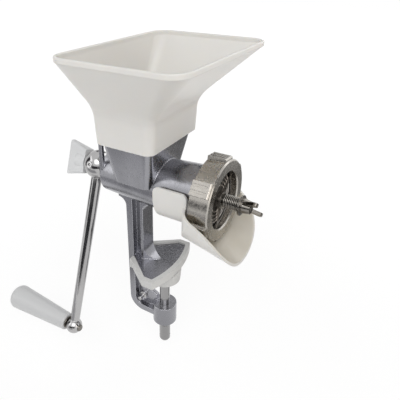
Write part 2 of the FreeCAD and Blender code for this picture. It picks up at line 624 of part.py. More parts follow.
# Ring nut: skirt, front lip and six fluted lugs.
ring_rear_x = "barrel_front_x + sleeve_gap"
ring_body = turned("ring_body", "x", [
    (ring_rear_x, f"{thread_r} + run_gap"), (disc_front_x, f"{thread_r} + run_gap"),
    (disc_front_x, "ring_open_r"),
    (f"{ring_front_x} - ring_edge", "ring_open_r"), (ring_front_x, "ring_open_r + ring_edge"),
    (ring_front_x, "ring_front_r - ring_edge"), (f"{ring_front_x} - ring_edge", "ring_front_r"),
    (ring_rear_x, "ring_rear_r")])
at(ring_body, 0, 0, "shaft_z")
lugs = []
flutes = []
for i in range(LUGS):
    lug = slab(f"lug_{i}", [
        (ring_rear_x, "ring_rear_r - 1"), (f"{ring_front_x} - ring_edge", "ring_rear_r - 1"),
        (f"{ring_front_x} - ring_edge", "lug_r - ring_edge"), (f"{ring_front_x} - 2 * ring_edge", "lug_r"),
        (ring_rear_x, "lug_r")], "-lug_wid / 2", "lug_wid / 2")
    lugs.append(at(turn(lug, (1, 0, 0), N["lug_turn"] + 360 / LUGS * i), 0, 0, "shaft_z"))
    for k in (-1, 1):
        flute = slab(f"flute_{i}_{k + 1}", [
            (f"{ring_rear_x} - 1", "lug_r - lug_flute"),
            (f"{ring_front_x} - 4 * ring_edge", "lug_r - lug_flute"),
            (f"{ring_front_x} - 4 * ring_edge", "lug_r + 1"), (f"{ring_rear_x} - 1", "lug_r + 1")],
            f"{k} * lug_wid / 5 - lug_wid / 14", f"{k} * lug_wid / 5 + lug_wid / 14")
        flutes.append(at(turn(flute, (1, 0, 0), N["lug_turn"] + 360 / LUGS * i), 0, 0, "shaft_z"))
node("ring_nut", cut("ring", fuse("ring_lugged", ring_body, *lugs), *flutes))

# Pressure disc: raised rim, web with turned ridges, hub and three fins.
web_front_x = f"{seat_x} + disc_web"
profile = [(seat_x, f"{front_bush_r} + run_gap"), (hub_front_x, f"{front_bush_r} + run_gap"),
           (hub_front_x, "disc_hub_r"), (web_front_x, "disc_hub_r")]
for i in range(RIDGES):
    ridge_r = f"disc_ridge_r + {i} * disc_ridge_step"
    profile += [(web_front_x, f"{ridge_r} - disc_ridge_step / 4"), (f"{web_front_x} + disc_ridge", ridge_r),
                (web_front_x, f"{ridge_r} + disc_ridge_step / 4")]
profile += [(web_front_x, "disc_rim_in_r"), (disc_front_x, "disc_rim_in_r + disc_web / 2"),
            (disc_front_x, "disc_rim_r"), (seat_x, "disc_rim_r")]
disc_body = at(turned("disc_body", "x", profile), 0, 0, "shaft_z")
fins = []
for i in range(FINS):
    fin = slab(f"fin_{i}", [
        (f"{web_front_x} - disc_web / 2", "disc_hub_r - 1"), (f"{hub_front_x} - 0.6", "disc_hub_r - 1"),
        (f"{hub_front_x} - 0.6", "disc_hub_r + 1"), (f"{web_front_x} + fin_tip", "disc_rim_in_r + 0.4"),
        (f"{web_front_x} - disc_web / 2", "disc_rim_in_r + 0.4")], "-fin_wall / 2", "fin_wall / 2")
    fins.append(at(turn(fin, (1, 0, 0), 30 + 120 * i - 90), 0, 0, "shaft_z"))
screw_holes = []
screws = []
for i in range(BURR_SCREWS):
    angle = 90 + 120 * i - 90
    place = FreeCAD.Rotation(V(1, 0, 0), angle).multVec(V(0, 0, 1))
    for kind, gap, store in (("hole", "run_gap", screw_holes), ("screw", "0", screws)):
        tail = f"{seat_x} + disc_web - 0.3" if kind == "screw" else f"{seat_x} + disc_web - 0.2"
        head_x = f"{fixed_burr_x} + burr_groove" if kind == "screw" else f"{fixed_burr_x} - 0.01"
        piece = turned(f"burr_{kind}_{i}", "x", [
            (head_x, 0), (tail, 0), (tail, f"burr_screw_r + {gap}"),
            (f"{seat_x} - 0.3", f"burr_screw_r + {gap}"),
            (f"{fixed_burr_x} + burr_groove", f"burr_screw_head_r + {gap}"),
            (head_x, f"burr_screw_head_r + {gap}")] if kind == "hole" else [
            (head_x, 0), (tail, 0), (tail, "burr_screw_r"), (f"{seat_x} - 0.3", "burr_screw_r"),
            (head_x, "burr_screw_head_r")])
        store.append(at(piece, 0, f"{place.y:.9f} * burr_screw_pitch_r",
                        f"shaft_z + {place.z:.9f} * burr_screw_pitch_r"))
node("pressure_disc", cut("disc", fuse("disc_finned", disc_body, *fins), *screw_holes))
node("front_bush", at(turned("front_bush_solid", "x", tube_points(
    seat_x, hub_front_x, "shaft_front_r + run_gap", front_bush_r)), 0, 0, "shaft_z"))


def grooves(name, x0, x1):
    """Radial grinding grooves cut into one face of a burr."""
    pieces = []
    for i in range(GROOVES):
        groove = slab(f"{name}_{i}", [
            (x0, "auger_flange_r + 2"), (x1, "auger_flange_r + 2"), (x1, "burr_r + 1"), (x0, "burr_r + 1")],
            "-burr_groove", "burr_groove")
        pieces.append(at(turn(groove, (1, 0, 0), 360 / GROOVES * i), 0, 0, "shaft_z"))
    return pieces


# Burrs.
fixed_blank = at(turned("fixed_blank", "x", tube_points(fixed_burr_x, seat_x, "burr_hole_r", "burr_r")), 0, 0,
                 "shaft_z")
node("fixed_burr", cut("fixed_burr_solid", fixed_blank, *screw_holes,
                       *grooves("fixed_groove", f"{fixed_burr_x} - 1", f"{fixed_burr_x} + burr_groove")))
node("fixed_burr_screws", fuse("burr_screws_solid", *screws))
turn_blank = at(turned("turn_blank", "x", tube_points(
    turn_burr_x, turn_burr_front_x, "shaft_r + run_gap", "burr_r")), 0, 0, "shaft_z")
drive_pins = []
drive_holes = []
pin_x0 = f"{turn_burr_front_x} - drive_pin - burr_groove"
for i in range(DRIVE_PINS):
    side = 1 - 2 * i
    drive_pins.append(rod(f"drive_pin_{i}", "x", "drive_pin_r", pin_x0, "drive_pin",
                          y=f"{side} * drive_pin_pitch_r", z="shaft_z"))
    drive_holes.append(rod(f"drive_hole_{i}", "x", "drive_pin_r + run_gap", pin_x0,
                           "drive_pin + burr_groove + 1",
                           y=f"{side} * drive_pin_pitch_r", z="shaft_z"))
node("rotating_burr", cut("turn_burr_solid", turn_blank, *drive_holes,
                          *grooves("turn_groove", f"{turn_burr_front_x} - burr_groove",
                                   f"{turn_burr_front_x} + 1")))
node("burr_drive_pins", fuse("drive_pins_solid", *drive_pins))

# Feed screw: core, front flange and one helical flight.
core_x = f"{bore_x} + auger_rear_gap"
core = turned("auger_core", "x", [
    (core_x, "shaft_r + run_gap"), (turn_burr_x, "shaft_r + run_gap"), (turn_burr_x, "auger_flange_r"),
    (flange_x, "auger_flange_r"), (f"{flange_x} - auger_cone", "auger_core_r"), (core_x, "auger_core_r")])
at(core, 0, 0, "shaft_z")
flight_path = doc.addObject("Part::Helix", "flight_path")
bind(flight_path, Pitch="auger_pitch",
     Height=f"{flange_x} - auger_cone - ({core_x}) - auger_tail - 1.5 * auger_flight",
     Radius="auger_core_r")
flight_path.LocalCoord = 0
flight_section = outline("flight_section", [
    ("auger_core_r - 1.5", "-auger_flight / 2"), ("auger_r", "-auger_flight / 3"),
    ("auger_r", "auger_flight / 3"),
    ("auger_core_r - 1.5", "auger_flight / 2")])
flight = doc.addObject("Part::Sweep", "flight")
flight.Sections = [flight_section]
flight.Spine = (flight_path, [])
flight.Solid = True
flight.Frenet = True
turn(flight, (0, 1, 0), 90)
at(flight, f"{core_x} + auger_tail + auger_flight / 2", 0, "shaft_z")
auger_pin_x = f"{core_x} + auger_tail / 2"
auger_hole = rod("auger_hole", "z", "auger_pin_r + run_gap", "shaft_z - auger_core_r - 1",
                 "2 * auger_core_r + 2",
                 x=auger_pin_x)
auger_core = cut("auger_drilled", core, auger_hole, *drive_holes)
auger_flight = fuse("auger_solid", auger_core, flight)
auger_flight.Refine = False
node("auger", auger_flight)
node("auger_pin",
     rod("auger_pin_rod", "z", "auger_pin_r", "shaft_z - auger_core_r + 0.2", "2 * auger_core_r - 0.4",
                      x=auger_pin_x))

# Shaft from the knob's thread to the wing nut's thread.
shaft = turned("shaft", "x", [
    (f"{crank_rear_x} - shaft_tail", 0), ("shaft_end_x", 0), ("shaft_end_x", "shaft_thread_r - 0.8"),
    ("shaft_end_x - 0.8", "shaft_thread_r"), (f"{spring_x} + spring_seat / 2", "shaft_thread_r"),
    (f"{spring_x} + spring_seat / 2", "shaft_front_r"), (f"{fixed_burr_x} + 0.2", "shaft_front_r"),
    (f"{fixed_burr_x} + 0.2", "shaft_r"), (crank_rear_x, "shaft_r"), (crank_rear_x, "shaft_tail_r"),
    (f"{crank_rear_x} - shaft_tail + 0.8", "shaft_tail_r"),
    (f"{crank_rear_x} - shaft_tail", "shaft_tail_r - 0.8")])
at(shaft, 0, 0, "shaft_z")
shaft_hole = rod("shaft_hole", "z", "auger_pin_r + run_gap", "shaft_z - shaft_r - 1", "2 * shaft_r + 2",
                 x=auger_pin_x)
node("main_shaft", cut("shaft_solid", shaft, shaft_hole))
node("rear_bush", at(turned("rear_bush_solid", "x", tube_points(
    "barrel_rear_x", bore_x, "shaft_r + run_gap", bush_r)), 0, 0, "shaft_z"))
node("rear_thrust_washer", at(turned("rear_washer_solid", "x", tube_points(
    "crank_x + hub_flat + grip_gap", "barrel_rear_x - grip_gap", "shaft_r + run_gap", f"{bush_r} + 1")), 0, 0,
    "shaft_z"))

# Fineness adjuster: washer, spring, washer and wing nut.
node("hub_washer", at(turned("hub_washer_solid", "x", tube_points(
    hub_front_x, spring_x, "shaft_front_r + run_gap", "washer_r")), 0, 0, "shaft_z"))
node("spring_washer", at(turned("spring_washer_solid", "x", tube_points(
    nut_washer_x, wing_x, "shaft_thread_r + run_gap", "spring_washer_r")), 0, 0, "shaft_z"))
wing_hub = turned("wing_hub_solid", "x", [
    (wing_x, 0), (f"{wing_x} + wing_hub", 0), (f"{wing_x} + wing_hub", "wing_top_r"),
    (f"{wing_x} + 1.5", "wing_hub_r"),
    (wing_x, "wing_hub_r")])
at(wing_hub, 0, 0, "shaft_z")
wings = []
tip_x = f"{wing_x} + wing_hub + wing_lean - wing_tip"
tip_points = []
for k in range(WING_TIP_STEPS + 1):
    way = math.radians(WING_SWEEP - 90 + 180 * k / WING_TIP_STEPS)
    tip_points.append((f"{tip_x} + wing_tip * {math.cos(way):.6f}",
                       f"wing_reach - wing_tip + wing_tip * {math.sin(way):.6f}"))
for i in range(2):
    wing = slab(f"wing_{i}", [
        (f"{wing_x} + 1", 0), (f"{wing_x} + wing_hub - 1", 0), (f"{wing_x} + wing_hub - 0.5", "wing_top_r"),
        *tip_points, (f"{wing_x} + wing_hub - 2", "wing_hub_r + 3.4"), (f"{wing_x} + 1.4", "wing_hub_r")],
        "-wing_wall / 2", "wing_wall / 2")
    turn(wing, (1, 0, 0), 30)
    wing.setExpression("Placement.Rotation.Angle", cell(f"wing_turn - 90 + {180 * i}"))
    wings.append(at(wing, 0, 0, "shaft_z"))
wing_bore = rod("wing_bore", "x", "shaft_thread_r + run_gap", f"{wing_x} - 1", "wing_hub + 2", z="shaft_z")
node("wing_nut", cut("wing_nut_solid", fuse("wing_blank", wing_hub, *wings), wing_bore))

# Coil spring: one tube on arcs, with a straight end at each washer.
wire = N["spring_wire"]
coil_r = N["spring_mean_r"]
turns = N["spring_turns"]
end_run = wire
lead = 1.3 * wire
coil_len = N["spring_room"] - 2 * (N["spring_seat"] + end_run + lead)
pitch = coil_len / turns


def coil_point(angle):
    x = end_run + lead + pitch * angle / (2 * math.pi)
    return V(x, coil_r * math.cos(angle), coil_r * math.sin(angle))


def coil_tangent(angle):
    tangent = V(pitch / (2 * math.pi), -coil_r * math.sin(angle), coil_r * math.cos(angle))
    return tangent.normalize()


def arc_edge(start, tangent, end):
    """An arc from a point with a tangent to another point."""
    chord = end - start
    across = chord - tangent * chord.dot(tangent)
    if across.Length < 1e-7:
        return Part.LineSegment(start, end).toShape()
    across.normalize()
    radius = chord.Length ** 2 / (2 * chord.dot(across))
    centre = start + across * radius
    half = (start - centre + end - centre).normalize()
    return Part.Arc(start, centre + half * radius, end).toShape()


def biarc(p0, t0, p1, t1):
    """Two arcs that join two points with their tangents."""
    gap = p1 - p0
    both = t0 + t1
    spare = 2 * (1 - t0.dot(t1))
    reach = gap.dot(both)
    if spare < 1e-9:
        step = gap.dot(gap) / (2 * reach)
    else:
        step = (-reach + math.sqrt(reach * reach + spare * gap.dot(gap))) / spare
    middle = (p0 + t0 * step + p1 - t1 * step) / 2
    first = arc_edge(p0, t0, middle)
    second = arc_edge(p1, t1 * -1, middle)
    return [first, second]


along = V(1, 0, 0)
quarter = math.pi / 2
lead_angle = math.pi / 6
start_angle = -lead_angle
stop_angle = 2 * math.pi * turns + lead_angle
first_end = V(end_run, coil_r * math.cos(start_angle), coil_r * math.sin(start_angle))
last_x = N["spring_room"] - 2 * N["spring_seat"] - end_run
last_end = V(last_x, coil_r * math.cos(stop_angle), coil_r * math.sin(stop_angle))
edges = [Part.LineSegment(first_end - along * end_run, first_end).toShape()]
edges += biarc(first_end, along, coil_point(0), coil_tangent(0))
for i in range(4 * turns):
    edges += biarc(coil_point(i * quarter), coil_tangent(i * quarter),
                   coil_point((i + 1) * quarter), coil_tangent((i + 1) * quarter))
edges += biarc(coil_point(2 * math.pi * turns), coil_tangent(2 * math.pi * turns), last_end, along)
edges.append(Part.LineSegment(last_end, last_end + along * end_run).toShape())
path = Part.Wire(Part.__sortEdges__(edges))
section = Part.Wire(Part.makeCircle(wire / 2, first_end - along * end_run, along))
spring_shape = path.makePipeShell([section], True, False)
spring = doc.addObject("Part::Feature", "adjuster_spring")
spring.Shape = spring_shape
spring.Placement = FreeCAD.Placement(
    V(N["barrel_front_x"] + N["chamber_back"] + N["chamber_depth"] + N["disc_hub"] + N["washer_wall"]
      + N["spring_seat"], 0, N["shaft_z"]), FreeCAD.Rotation())
node("adjuster_spring", spring)
samples = path.discretize(Distance=0.2)
reach_along = [0.0]
for a, b in zip(samples, samples[1:]):
    reach_along.append(reach_along[-1] + a.distanceToPoint(b))
self_gap = min(a.distanceToPoint(b) - wire
               for i, a in enumerate(samples) for j, b in enumerate(samples[i + 1:], i + 1)
               if reach_along[j] - reach_along[i] > 4 * wire)
print(f"spring: least gap to itself {self_gap:.3f} mm, volume ratio "
      f"{spring_shape.Volume / (math.pi * wire * wire / 4 * path.Length):.4f}")


def crank_place(obj):
    """Move a piece from the crank's own frame, arm straight down, to the leaning crank."""
    turn(obj, (1, 0, 0), -10)
    obj.setExpression("Placement.Rotation.Angle", cell("-crank_lean"))
    return at(obj, "crank_x", 0, "shaft_z")


# Crank: hub ball, tapered arm and small ball, drawn with the arm straight down.
arm = turned("arm", "z", [
    (0, "-crank_reach"), ("arm_low_r", "-crank_reach"), ("arm_top_r", "-hub_r + 1"), (0, "-hub_r + 1")])
crank_solid = fuse("crank_blank", ball("hub_ball", "hub_r"), arm,
                   ball("small_ball", "ball_r", z="-crank_reach"))
set_hole = rod("set_hole", "y", "set_screw_r + run_gap", "-hub_r - 1", "hub_r + 1")
crank = cut(
    "crank", crank_solid, set_hole,
    rod("hub_bore", "x", "shaft_r + run_gap", "-hub_r - 1", "2 * hub_r + 2"),
    rod("ball_bore", "x", "axle_r + run_gap", "-ball_r - 1", "2 * ball_r + 2", z="-crank_reach"),
    box("hub_front_cut", "hub_flat", "hub_r + 1", "-hub_r", "hub_r", "-hub_r", "hub_r"),
    box("hub_rear_cut", "-hub_r - 1", "-hub_flat", "-hub_r", "hub_r", "-hub_r", "hub_r"),
    box("ball_cut", "-ball_r - 1", "-ball_flat", "-ball_r", "ball_r", "-crank_reach - ball_r",
        "-crank_reach + ball_r"))
node("crank_arm", crank_place(crank))
set_screw = rod("set_screw_rod", "y", "set_screw_r", "-hub_r - set_screw_proud",
                "hub_r + set_screw_proud - shaft_r - run_gap")
set_key = doc.addObject("Part::Prism", "set_key")
set_key.Polygon = 6
bind(set_key, Circumradius="set_socket_r", Height="set_socket + 1")
turn(set_key, (1, 0, 0), -90)
at(set_key, 0, "-hub_r - set_screw_proud - 1", 0)
node("crank_set_screw", crank_place(cut("set_screw", set_screw, set_key)))

# Knob: a flared wing screwed on the shaft's tail, with a metal insert.
knob_x = "-hub_flat - knob_gap"
knob_blank = loft("knob_blank",
                  rounded("knob_foot", "2 * knob_foot_half", "knob_foot_wall", "knob_round", 0, 0),
                  rounded("knob_tip", "2 * knob_tip_half", "knob_tip_wall", "knob_round", 0, "knob_len"))
turn(knob_blank, (0, 1, 0), -90)
at(knob_blank, knob_x, 0, 0)
knob_collar = rod("knob_collar", "x", "insert_r + 3", f"{knob_x} - knob_len / 2", "knob_len / 2")
insert_x = f"{knob_x} - insert_len"
knob_bore = rod("knob_bore", "x", "insert_r + run_gap", insert_x, "insert_len + 1")
node("crank_knob", crank_place(cut("knob", fuse("knob_fused", knob_blank, knob_collar), knob_bore)))
insert = turned("insert", "x", [
    (insert_x, 0), (f"{insert_x} + 1", 0), (f"{insert_x} + 1", "shaft_tail_r + run_gap"),
    (knob_x, "shaft_tail_r + run_gap"), (knob_x, "insert_r"), (insert_x, "insert_r")])
node("knob_insert", crank_place(insert))

# Grip on its axle.
washer_x = "-ball_flat - grip_gap - grip_washer_wall"
grip_x = f"{washer_x} - grip_gap"
grip_end_x = f"{grip_x} - grip_len"
grip_blank = turned("grip_blank", "x", [
    (grip_x, "axle_r + run_gap"), (grip_x, "grip_near_r - 1"), (f"{grip_x} - 1", "grip_near_r"),
    (grip_end_x, "grip_far_r"), (grip_end_x, 0), (f"{grip_x} - grip_bore", 0),
    (f"{grip_x} - grip_bore", "axle_r + run_gap")])
doc.recompute()
grip = doc.addObject("Part::Fillet", "grip_rounded")
grip.Base = grip_blank
grip.Edges = [(i, N["grip_round"], N["grip_round"]) for i, edge in enumerate(grip_blank.Shape.Edges, 1)
              if edge.Curve.TypeId == "Part::GeomCircle" and abs(edge.Curve.Radius - N["grip_far_r"]) < 1e-6]


def grip_place(obj):
    """Move a piece from the grip's own axis to the end of the leaning crank."""
    return at(obj, "crank_x", "-crank_reach * sin(crank_lean * 1 deg)",
              "shaft_z - crank_reach * cos(crank_lean * 1 deg)")


node("grip", grip_place(grip))
axle = turned("axle", "x", [
    (f"{grip_x} - grip_bore + 1", 0), ("ball_r + axle_proud", 0), ("ball_r + axle_proud", "axle_r - 0.6"),
    ("ball_r + axle_proud - 0.6", "axle_r"), (f"{grip_x} - grip_bore + 1", "axle_r")])
node("grip_axle", grip_place(axle))
node("grip_washer", grip_place(turned("grip_washer_solid", "x", tube_points(
    washer_x, "-ball_flat - grip_gap", "axle_r + run_gap", "grip_washer_r"))))

# Jaw cover: a boot around the fan, open at the back.
slope = "(jaw_corner_half - jaw_back_half) / (jaw_corner_x - jaw_back_x)"
cover_back = f"jaw_back_half + cover_wall * sqrt(1 + ({slope})^2)"


def fan(name, side, back, front_r, z0, z1, x0):
    """The jaw's outline, widened, between two heights."""
    corner = f"jaw_corner_half + {side}"
    plate = sheet_plate(name + "_plate", [
        (x0, f"-({back})"), ("jaw_back_x", f"-({back})"), ("jaw_corner_x", f"-({corner})"),
        (f"jaw_front_x + {side} + 1", f"-({corner})"), (f"jaw_front_x + {side} + 1", corner),
        ("jaw_corner_x", corner), ("jaw_back_x", back), (x0, back)], z0, z1)
    front = rod(name + "_front", "z", front_r, z0, f"({z1}) - ({z0})", x="jaw_front_x - jaw_front_r")
    return common(name, plate, front)


cover_top_z = f"{jaw_top_z} + cover_rim"
cover_out = fan("cover_out", "cover_wall", cover_back, "jaw_front_r + cover_wall", 0, cover_top_z,
                "jaw_back_x - 2")
cover_in = fan("cover_in", "sleeve_gap", f"jaw_back_half + sleeve_gap * sqrt(1 + ({slope})^2)",
               "jaw_front_r + sleeve_gap", "cover_skin", f"{cover_top_z} + 1", web_x)
cover_slot = box("cover_slot", "post_rear_x", "post_front_x + sleeve_gap", "-web_half - sleeve_gap",
                 "web_half + sleeve_gap", -1, "cover_skin + 1")
cover_sharp = cut("cover_sharp", cover_out, cover_in, cover_slot)
doc.recompute()
cover = doc.addObject("Part::Chamfer", "cover_edged")
cover.Base = cover_sharp
cover.Edges = [(i, N["cover_edge"], N["cover_edge"]) for i, edge in enumerate(cover_sharp.Shape.Edges, 1)
               if all(abs(v.Z) < 1e-6 for v in edge.Vertexes) and edge.CenterOfMass.x > N["jaw_back_x"] - 1
               and abs(edge.CenterOfMass.y) + edge.CenterOfMass.x > N["post_front_x"] + N["jaw_back_half"]]
node("jaw_cover", cover)

# Clamp pad, its socket and the screw.
pad_top_z = "-pad_gap"
pad_low_z = "-pad_gap - pad_height"
node("clamp_pad", turned("pad", "z", [
    (0, pad_top_z), ("pad_top_r - 1", pad_top_z), ("pad_top_r", f"{pad_top_z} - 1"),
    ("pad_low_r", f"{pad_low_z} + pad_round"), ("pad_low_r - pad_round", pad_low_z),
    ("socket_r + run_gap", pad_low_z), ("socket_r + run_gap", f"{pad_low_z} + socket_height"),
    (0, f"{pad_low_z} + socket_height")]))
tip_top_z = f"{pad_low_z} - screw_shoulder + screw_tip"
node("pad_socket", turned("socket", "z", [
    ("screw_tip_r + run_gap", pad_low_z), ("socket_r", pad_low_z),
    ("socket_r", f"{pad_low_z} + socket_height"),
    (0, f"{pad_low_z} + socket_height"), (0, f"{tip_top_z} + 0.2"),
    ("screw_tip_r + run_gap", f"{tip_top_z} + 0.2")]))
head_top_z = "boss_low_z - boss_cone - screw_head_gap"
head_low_z = f"{head_top_z} - screw_head"
screw_blank = turned("screw_blank", "z", [
    (0, tip_top_z), ("screw_tip_r", tip_top_z), ("screw_tip_r", f"{pad_low_z} - screw_shoulder"),
    ("screw_r - 0.5", f"{pad_low_z} - screw_shoulder"), ("screw_r", f"{pad_low_z} - screw_shoulder - 0.5"),
    ("screw_r", head_top_z), ("screw_head_r", head_top_z),
    ("screw_head_r", f"{head_low_z} + screw_head_r * 0.6"),
    ("screw_head_r * 0.8", f"{head_low_z} + screw_head_r * 0.2"), ("screw_head_r * 0.45", head_low_z),
    (0, head_low_z)])
screw_hole = doc.addObject("Part::Cylinder", "screw_cross_hole")
bind(screw_hole, Radius="screw_hole_r", Height="2 * screw_head_r + 2")
hole_turn = math.radians(N["screw_hole_turn"])
turn(screw_hole, (-math.sin(hole_turn), math.cos(hole_turn), 0), 90)
at(screw_hole, "-(screw_head_r + 1) * cos(screw_hole_turn * 1 deg)",
   "-(screw_head_r + 1) * sin(screw_hole_turn * 1 deg)", f"{head_low_z} + screw_hole_rise")
node("clamp_screw", cut("screw", screw_blank, screw_hole))

# Flour guard: a saddle with ears on the barrel, and a sloping chute under the ring.
saddle_r = "barrel_front_r + sleeve_gap"
saddle_out = rod("saddle_out", "x", f"{saddle_r} + guard_wall", "saddle_rear_x",
                 "chute_rear_x - saddle_rear_x", z="shaft_z")
saddle_in = rod("saddle_in", "x", saddle_r, "saddle_rear_x - 1", "chute_front_x - saddle_rear_x", z="shaft_z")
saddle_top = box("saddle_top", "saddle_rear_x - 1", "chute_rear_x + 1", "-barrel_front_r * 2",
                 "barrel_front_r * 2",
                 "shaft_z", "shaft_z + 2 * barrel_front_r")
saddle = cut("saddle", saddle_out, saddle_in, saddle_top)
ears = []
ear_x = "(saddle_rear_x + chute_rear_x) / 2"
for side, name in ((-1, "near"), (1, "far")):
    ear = doc.addObject("Part::Extrusion", f"ear_{name}")
    ear.Base = rounded(f"ear_{name}_outline", "chute_rear_x - saddle_rear_x", "2 * saddle_rise", "ear_round")
    ear.DirMode = "Custom"
    ear.Dir = V(0, 0, 1)
    ear.Solid = True
    bind(ear, LengthFwd="guard_wall")
    turn(ear, (1, 0, 0), 90)
    y = f"-({saddle_r})" if side < 0 else f"{saddle_r} + guard_wall"
    ears.append(at(ear, ear_x, y, "shaft_z"))
ear_under = box("ear_under", "saddle_rear_x - 1", "chute_rear_x + 1", "-2 * barrel_front_r",
                "2 * barrel_front_r",
                "shaft_z - 2 * saddle_rise", "shaft_z - 0.5")
ear_cut = cut("ears_trimmed", fuse("ears", *ears), ear_under)


def chute_pipe(name, radius):
    """A pipe along the chute's slope, through the chute's axis at its front edge."""
    pipe = doc.addObject("Part::Cylinder", name)
    bind(pipe, Radius=radius, Height="4 * chute_r")
    turn(pipe, (0, 1, 0), 100)
    pipe.setExpression("Placement.Rotation.Angle", cell("90 + chute_slope"))
    drop = "(chute_r + guard_wall) / cos(chute_slope * 1 deg)"
    back = "2 * chute_r"
    return at(pipe, f"chute_front_x - {back} * cos(chute_slope * 1 deg)", 0,
              f"chute_low_z + {drop} + {back} * sin(chute_slope * 1 deg)")


rim = rod("chute_rim", "y", "chute_rim_r", "-2 * chute_r", "4 * chute_r", x="chute_rim_x", z="chute_rim_z")
chute_room = box("chute_room", "chute_rear_x - guard_wall", "chute_front_x", "-2 * chute_r", "2 * chute_r",
                 "chute_low_z - 1", "shaft_z + chute_r")


def chute_plan(name, rear, grow, radius):
    """The chute's outline seen from above, with rounded rear corners, as a tall block."""
    block = doc.addObject("Part::Extrusion", name)
    block.Base = rounded(name + "_outline", "4 * chute_r", f"2 * (chute_r + {grow})", radius)
    block.DirMode = "Custom"
    block.Dir = V(0, 0, 1)
    block.Solid = True
    bind(block, LengthFwd="shaft_z + chute_r")
    return at(block, f"{rear} + 2 * chute_r", 0, 0)


chute_outside = common("chute_outside", chute_pipe("chute_pipe_out", "chute_r + guard_wall"), rim, chute_room,
                       chute_plan("chute_plan_out", "chute_rear_x - guard_wall", "guard_wall", "chute_round"))
chute_hollow = box("chute_hollow", "chute_rear_x", "chute_front_x + 1", "-2 * chute_r", "2 * chute_r",
                   "chute_low_z - 2", "shaft_z + 2 * chute_r")
chute_inside = common("chute_inside", chute_pipe("chute_pipe_in", "chute_r"), chute_hollow,
                      chute_plan("chute_plan_in", "chute_rear_x", "0", "chute_round - guard_wall"))
barrel_clear = rod("barrel_clear", "x", saddle_r, "saddle_rear_x - 2", "chute_rear_x - saddle_rear_x + 4",
                   z="shaft_z")
chute = cut("chute", chute_outside, chute_inside, barrel_clear)
node("flour_guard", fuse("guard", saddle, ear_cut, chute))

doc.recompute()
for obj in doc.Objects:
    if "Invalid" in obj.State or "Error" in obj.State:
        raise RuntimeError(f"{obj.Name} failed: {obj.State}")
labels = [obj.Label for obj in nodes]
if len(set(labels)) != len(labels):
    raise RuntimeError("two nodes share a label")
for obj in nodes:
    if obj.Shape.isNull() or not obj.Shape.isValid() or not obj.Shape.Solids:
        raise RuntimeError(f"{obj.Label} has no valid solid")

os.makedirs("parts", exist_ok=True)
for obj in nodes:
    obj.Shape.exportStep(f"parts/{obj.Label}.step")
    print(f"{obj.Label}: {len(obj.Shape.Solids)} solid(s), {obj.Shape.Volume:.0f} mm3")
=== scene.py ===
import json
import math

import bpy
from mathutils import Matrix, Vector


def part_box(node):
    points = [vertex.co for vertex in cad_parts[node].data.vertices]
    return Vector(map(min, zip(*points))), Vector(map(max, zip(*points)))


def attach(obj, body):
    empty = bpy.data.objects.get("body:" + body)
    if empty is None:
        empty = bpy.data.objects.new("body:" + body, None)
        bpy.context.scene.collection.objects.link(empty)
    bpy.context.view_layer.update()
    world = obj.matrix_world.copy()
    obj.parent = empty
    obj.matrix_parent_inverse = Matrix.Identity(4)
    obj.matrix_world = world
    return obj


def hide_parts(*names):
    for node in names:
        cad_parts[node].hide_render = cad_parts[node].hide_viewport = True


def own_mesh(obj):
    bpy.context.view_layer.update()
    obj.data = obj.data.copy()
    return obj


bl_info = {
    "name": "Hand grain mill",
    "version": (1, 0, 0),
    "blender": (4, 5, 0),
    "location": "View3D > Sidebar > Mill",
    "description": "Finishes, spring, light and camera for a hand grain mill with a screw clamp",
    "category": "Object",
}

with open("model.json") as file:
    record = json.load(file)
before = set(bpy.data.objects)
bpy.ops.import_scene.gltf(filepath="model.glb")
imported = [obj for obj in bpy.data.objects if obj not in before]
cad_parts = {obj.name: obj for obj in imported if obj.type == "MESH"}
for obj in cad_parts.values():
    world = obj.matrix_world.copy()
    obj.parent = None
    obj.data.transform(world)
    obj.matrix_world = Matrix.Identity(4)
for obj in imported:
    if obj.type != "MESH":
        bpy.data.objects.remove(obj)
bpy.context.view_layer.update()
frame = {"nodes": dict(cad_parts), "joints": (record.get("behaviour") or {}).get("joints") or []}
nodes = frame["nodes"]
joints = {joint["name"]: joint for joint in frame["joints"]}

# The shaft lies along X, at the height of the joint that it turns on.
SHAFT_Z = joints["crank_turn"]["pos_m"][2]

# The pressure disc along the shaft. Its web carries turned ridges, and the fins and the hub stand
# higher than those. A painted highlight grows up the ridges and fades again above them.
WEB_THICKNESS = 0.0017
RIDGE_HEIGHT = 0.0010
RIDGE_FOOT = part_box("pressure_disc")[0].x + WEB_THICKNESS
RIDGE_TOP = RIDGE_FOOT + RIDGE_HEIGHT
HIGHLIGHT_GROWS = (RIDGE_FOOT + 0.4 * RIDGE_HEIGHT, RIDGE_FOOT + 0.9 * RIDGE_HEIGHT)
HIGHLIGHT_FADES = (RIDGE_TOP, RIDGE_TOP + 0.3 * RIDGE_HEIGHT)

# The visible spring is wound in the room of its CAD solid, to a tenth of a millimetre.
SPRING_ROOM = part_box("adjuster_spring")
SPRING_WIRE = 0.0010
SPRING_COIL = round((SPRING_ROOM[1].z - SPRING_ROOM[0].z - SPRING_WIRE) / 2, 4)
WIRE_SIDES = 14
STEPS_PER_TURN = 48
WELD_GAP = 1e-7
CREASE_ANGLE = math.radians(40)

# The floor stays clear of the clamp screw when the clamp is wide open.
CLAMP_TRAVEL = joints["clamp_slide"]["range_m"][1]
FLOOR_GAP = 0.0014
FLOOR_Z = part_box("clamp_screw")[0].z - CLAMP_TRAVEL - FLOOR_GAP
FLOOR_SIZE = 8
FLOOR_SHADE = 0.92
FLOOR_ROUGH = 0.9
# Up to the first distance a share of the floor shows as plain white, and from the second all of it.
FLOOR_FADE = (0.2, 0.75)
FLOOR_NEAR_WHITE = 0.82
FLOOR_GLOW = 1.05

# How bright the surroundings are as a light. As a background they are plain white.
WORLD_LIGHT = 0.34
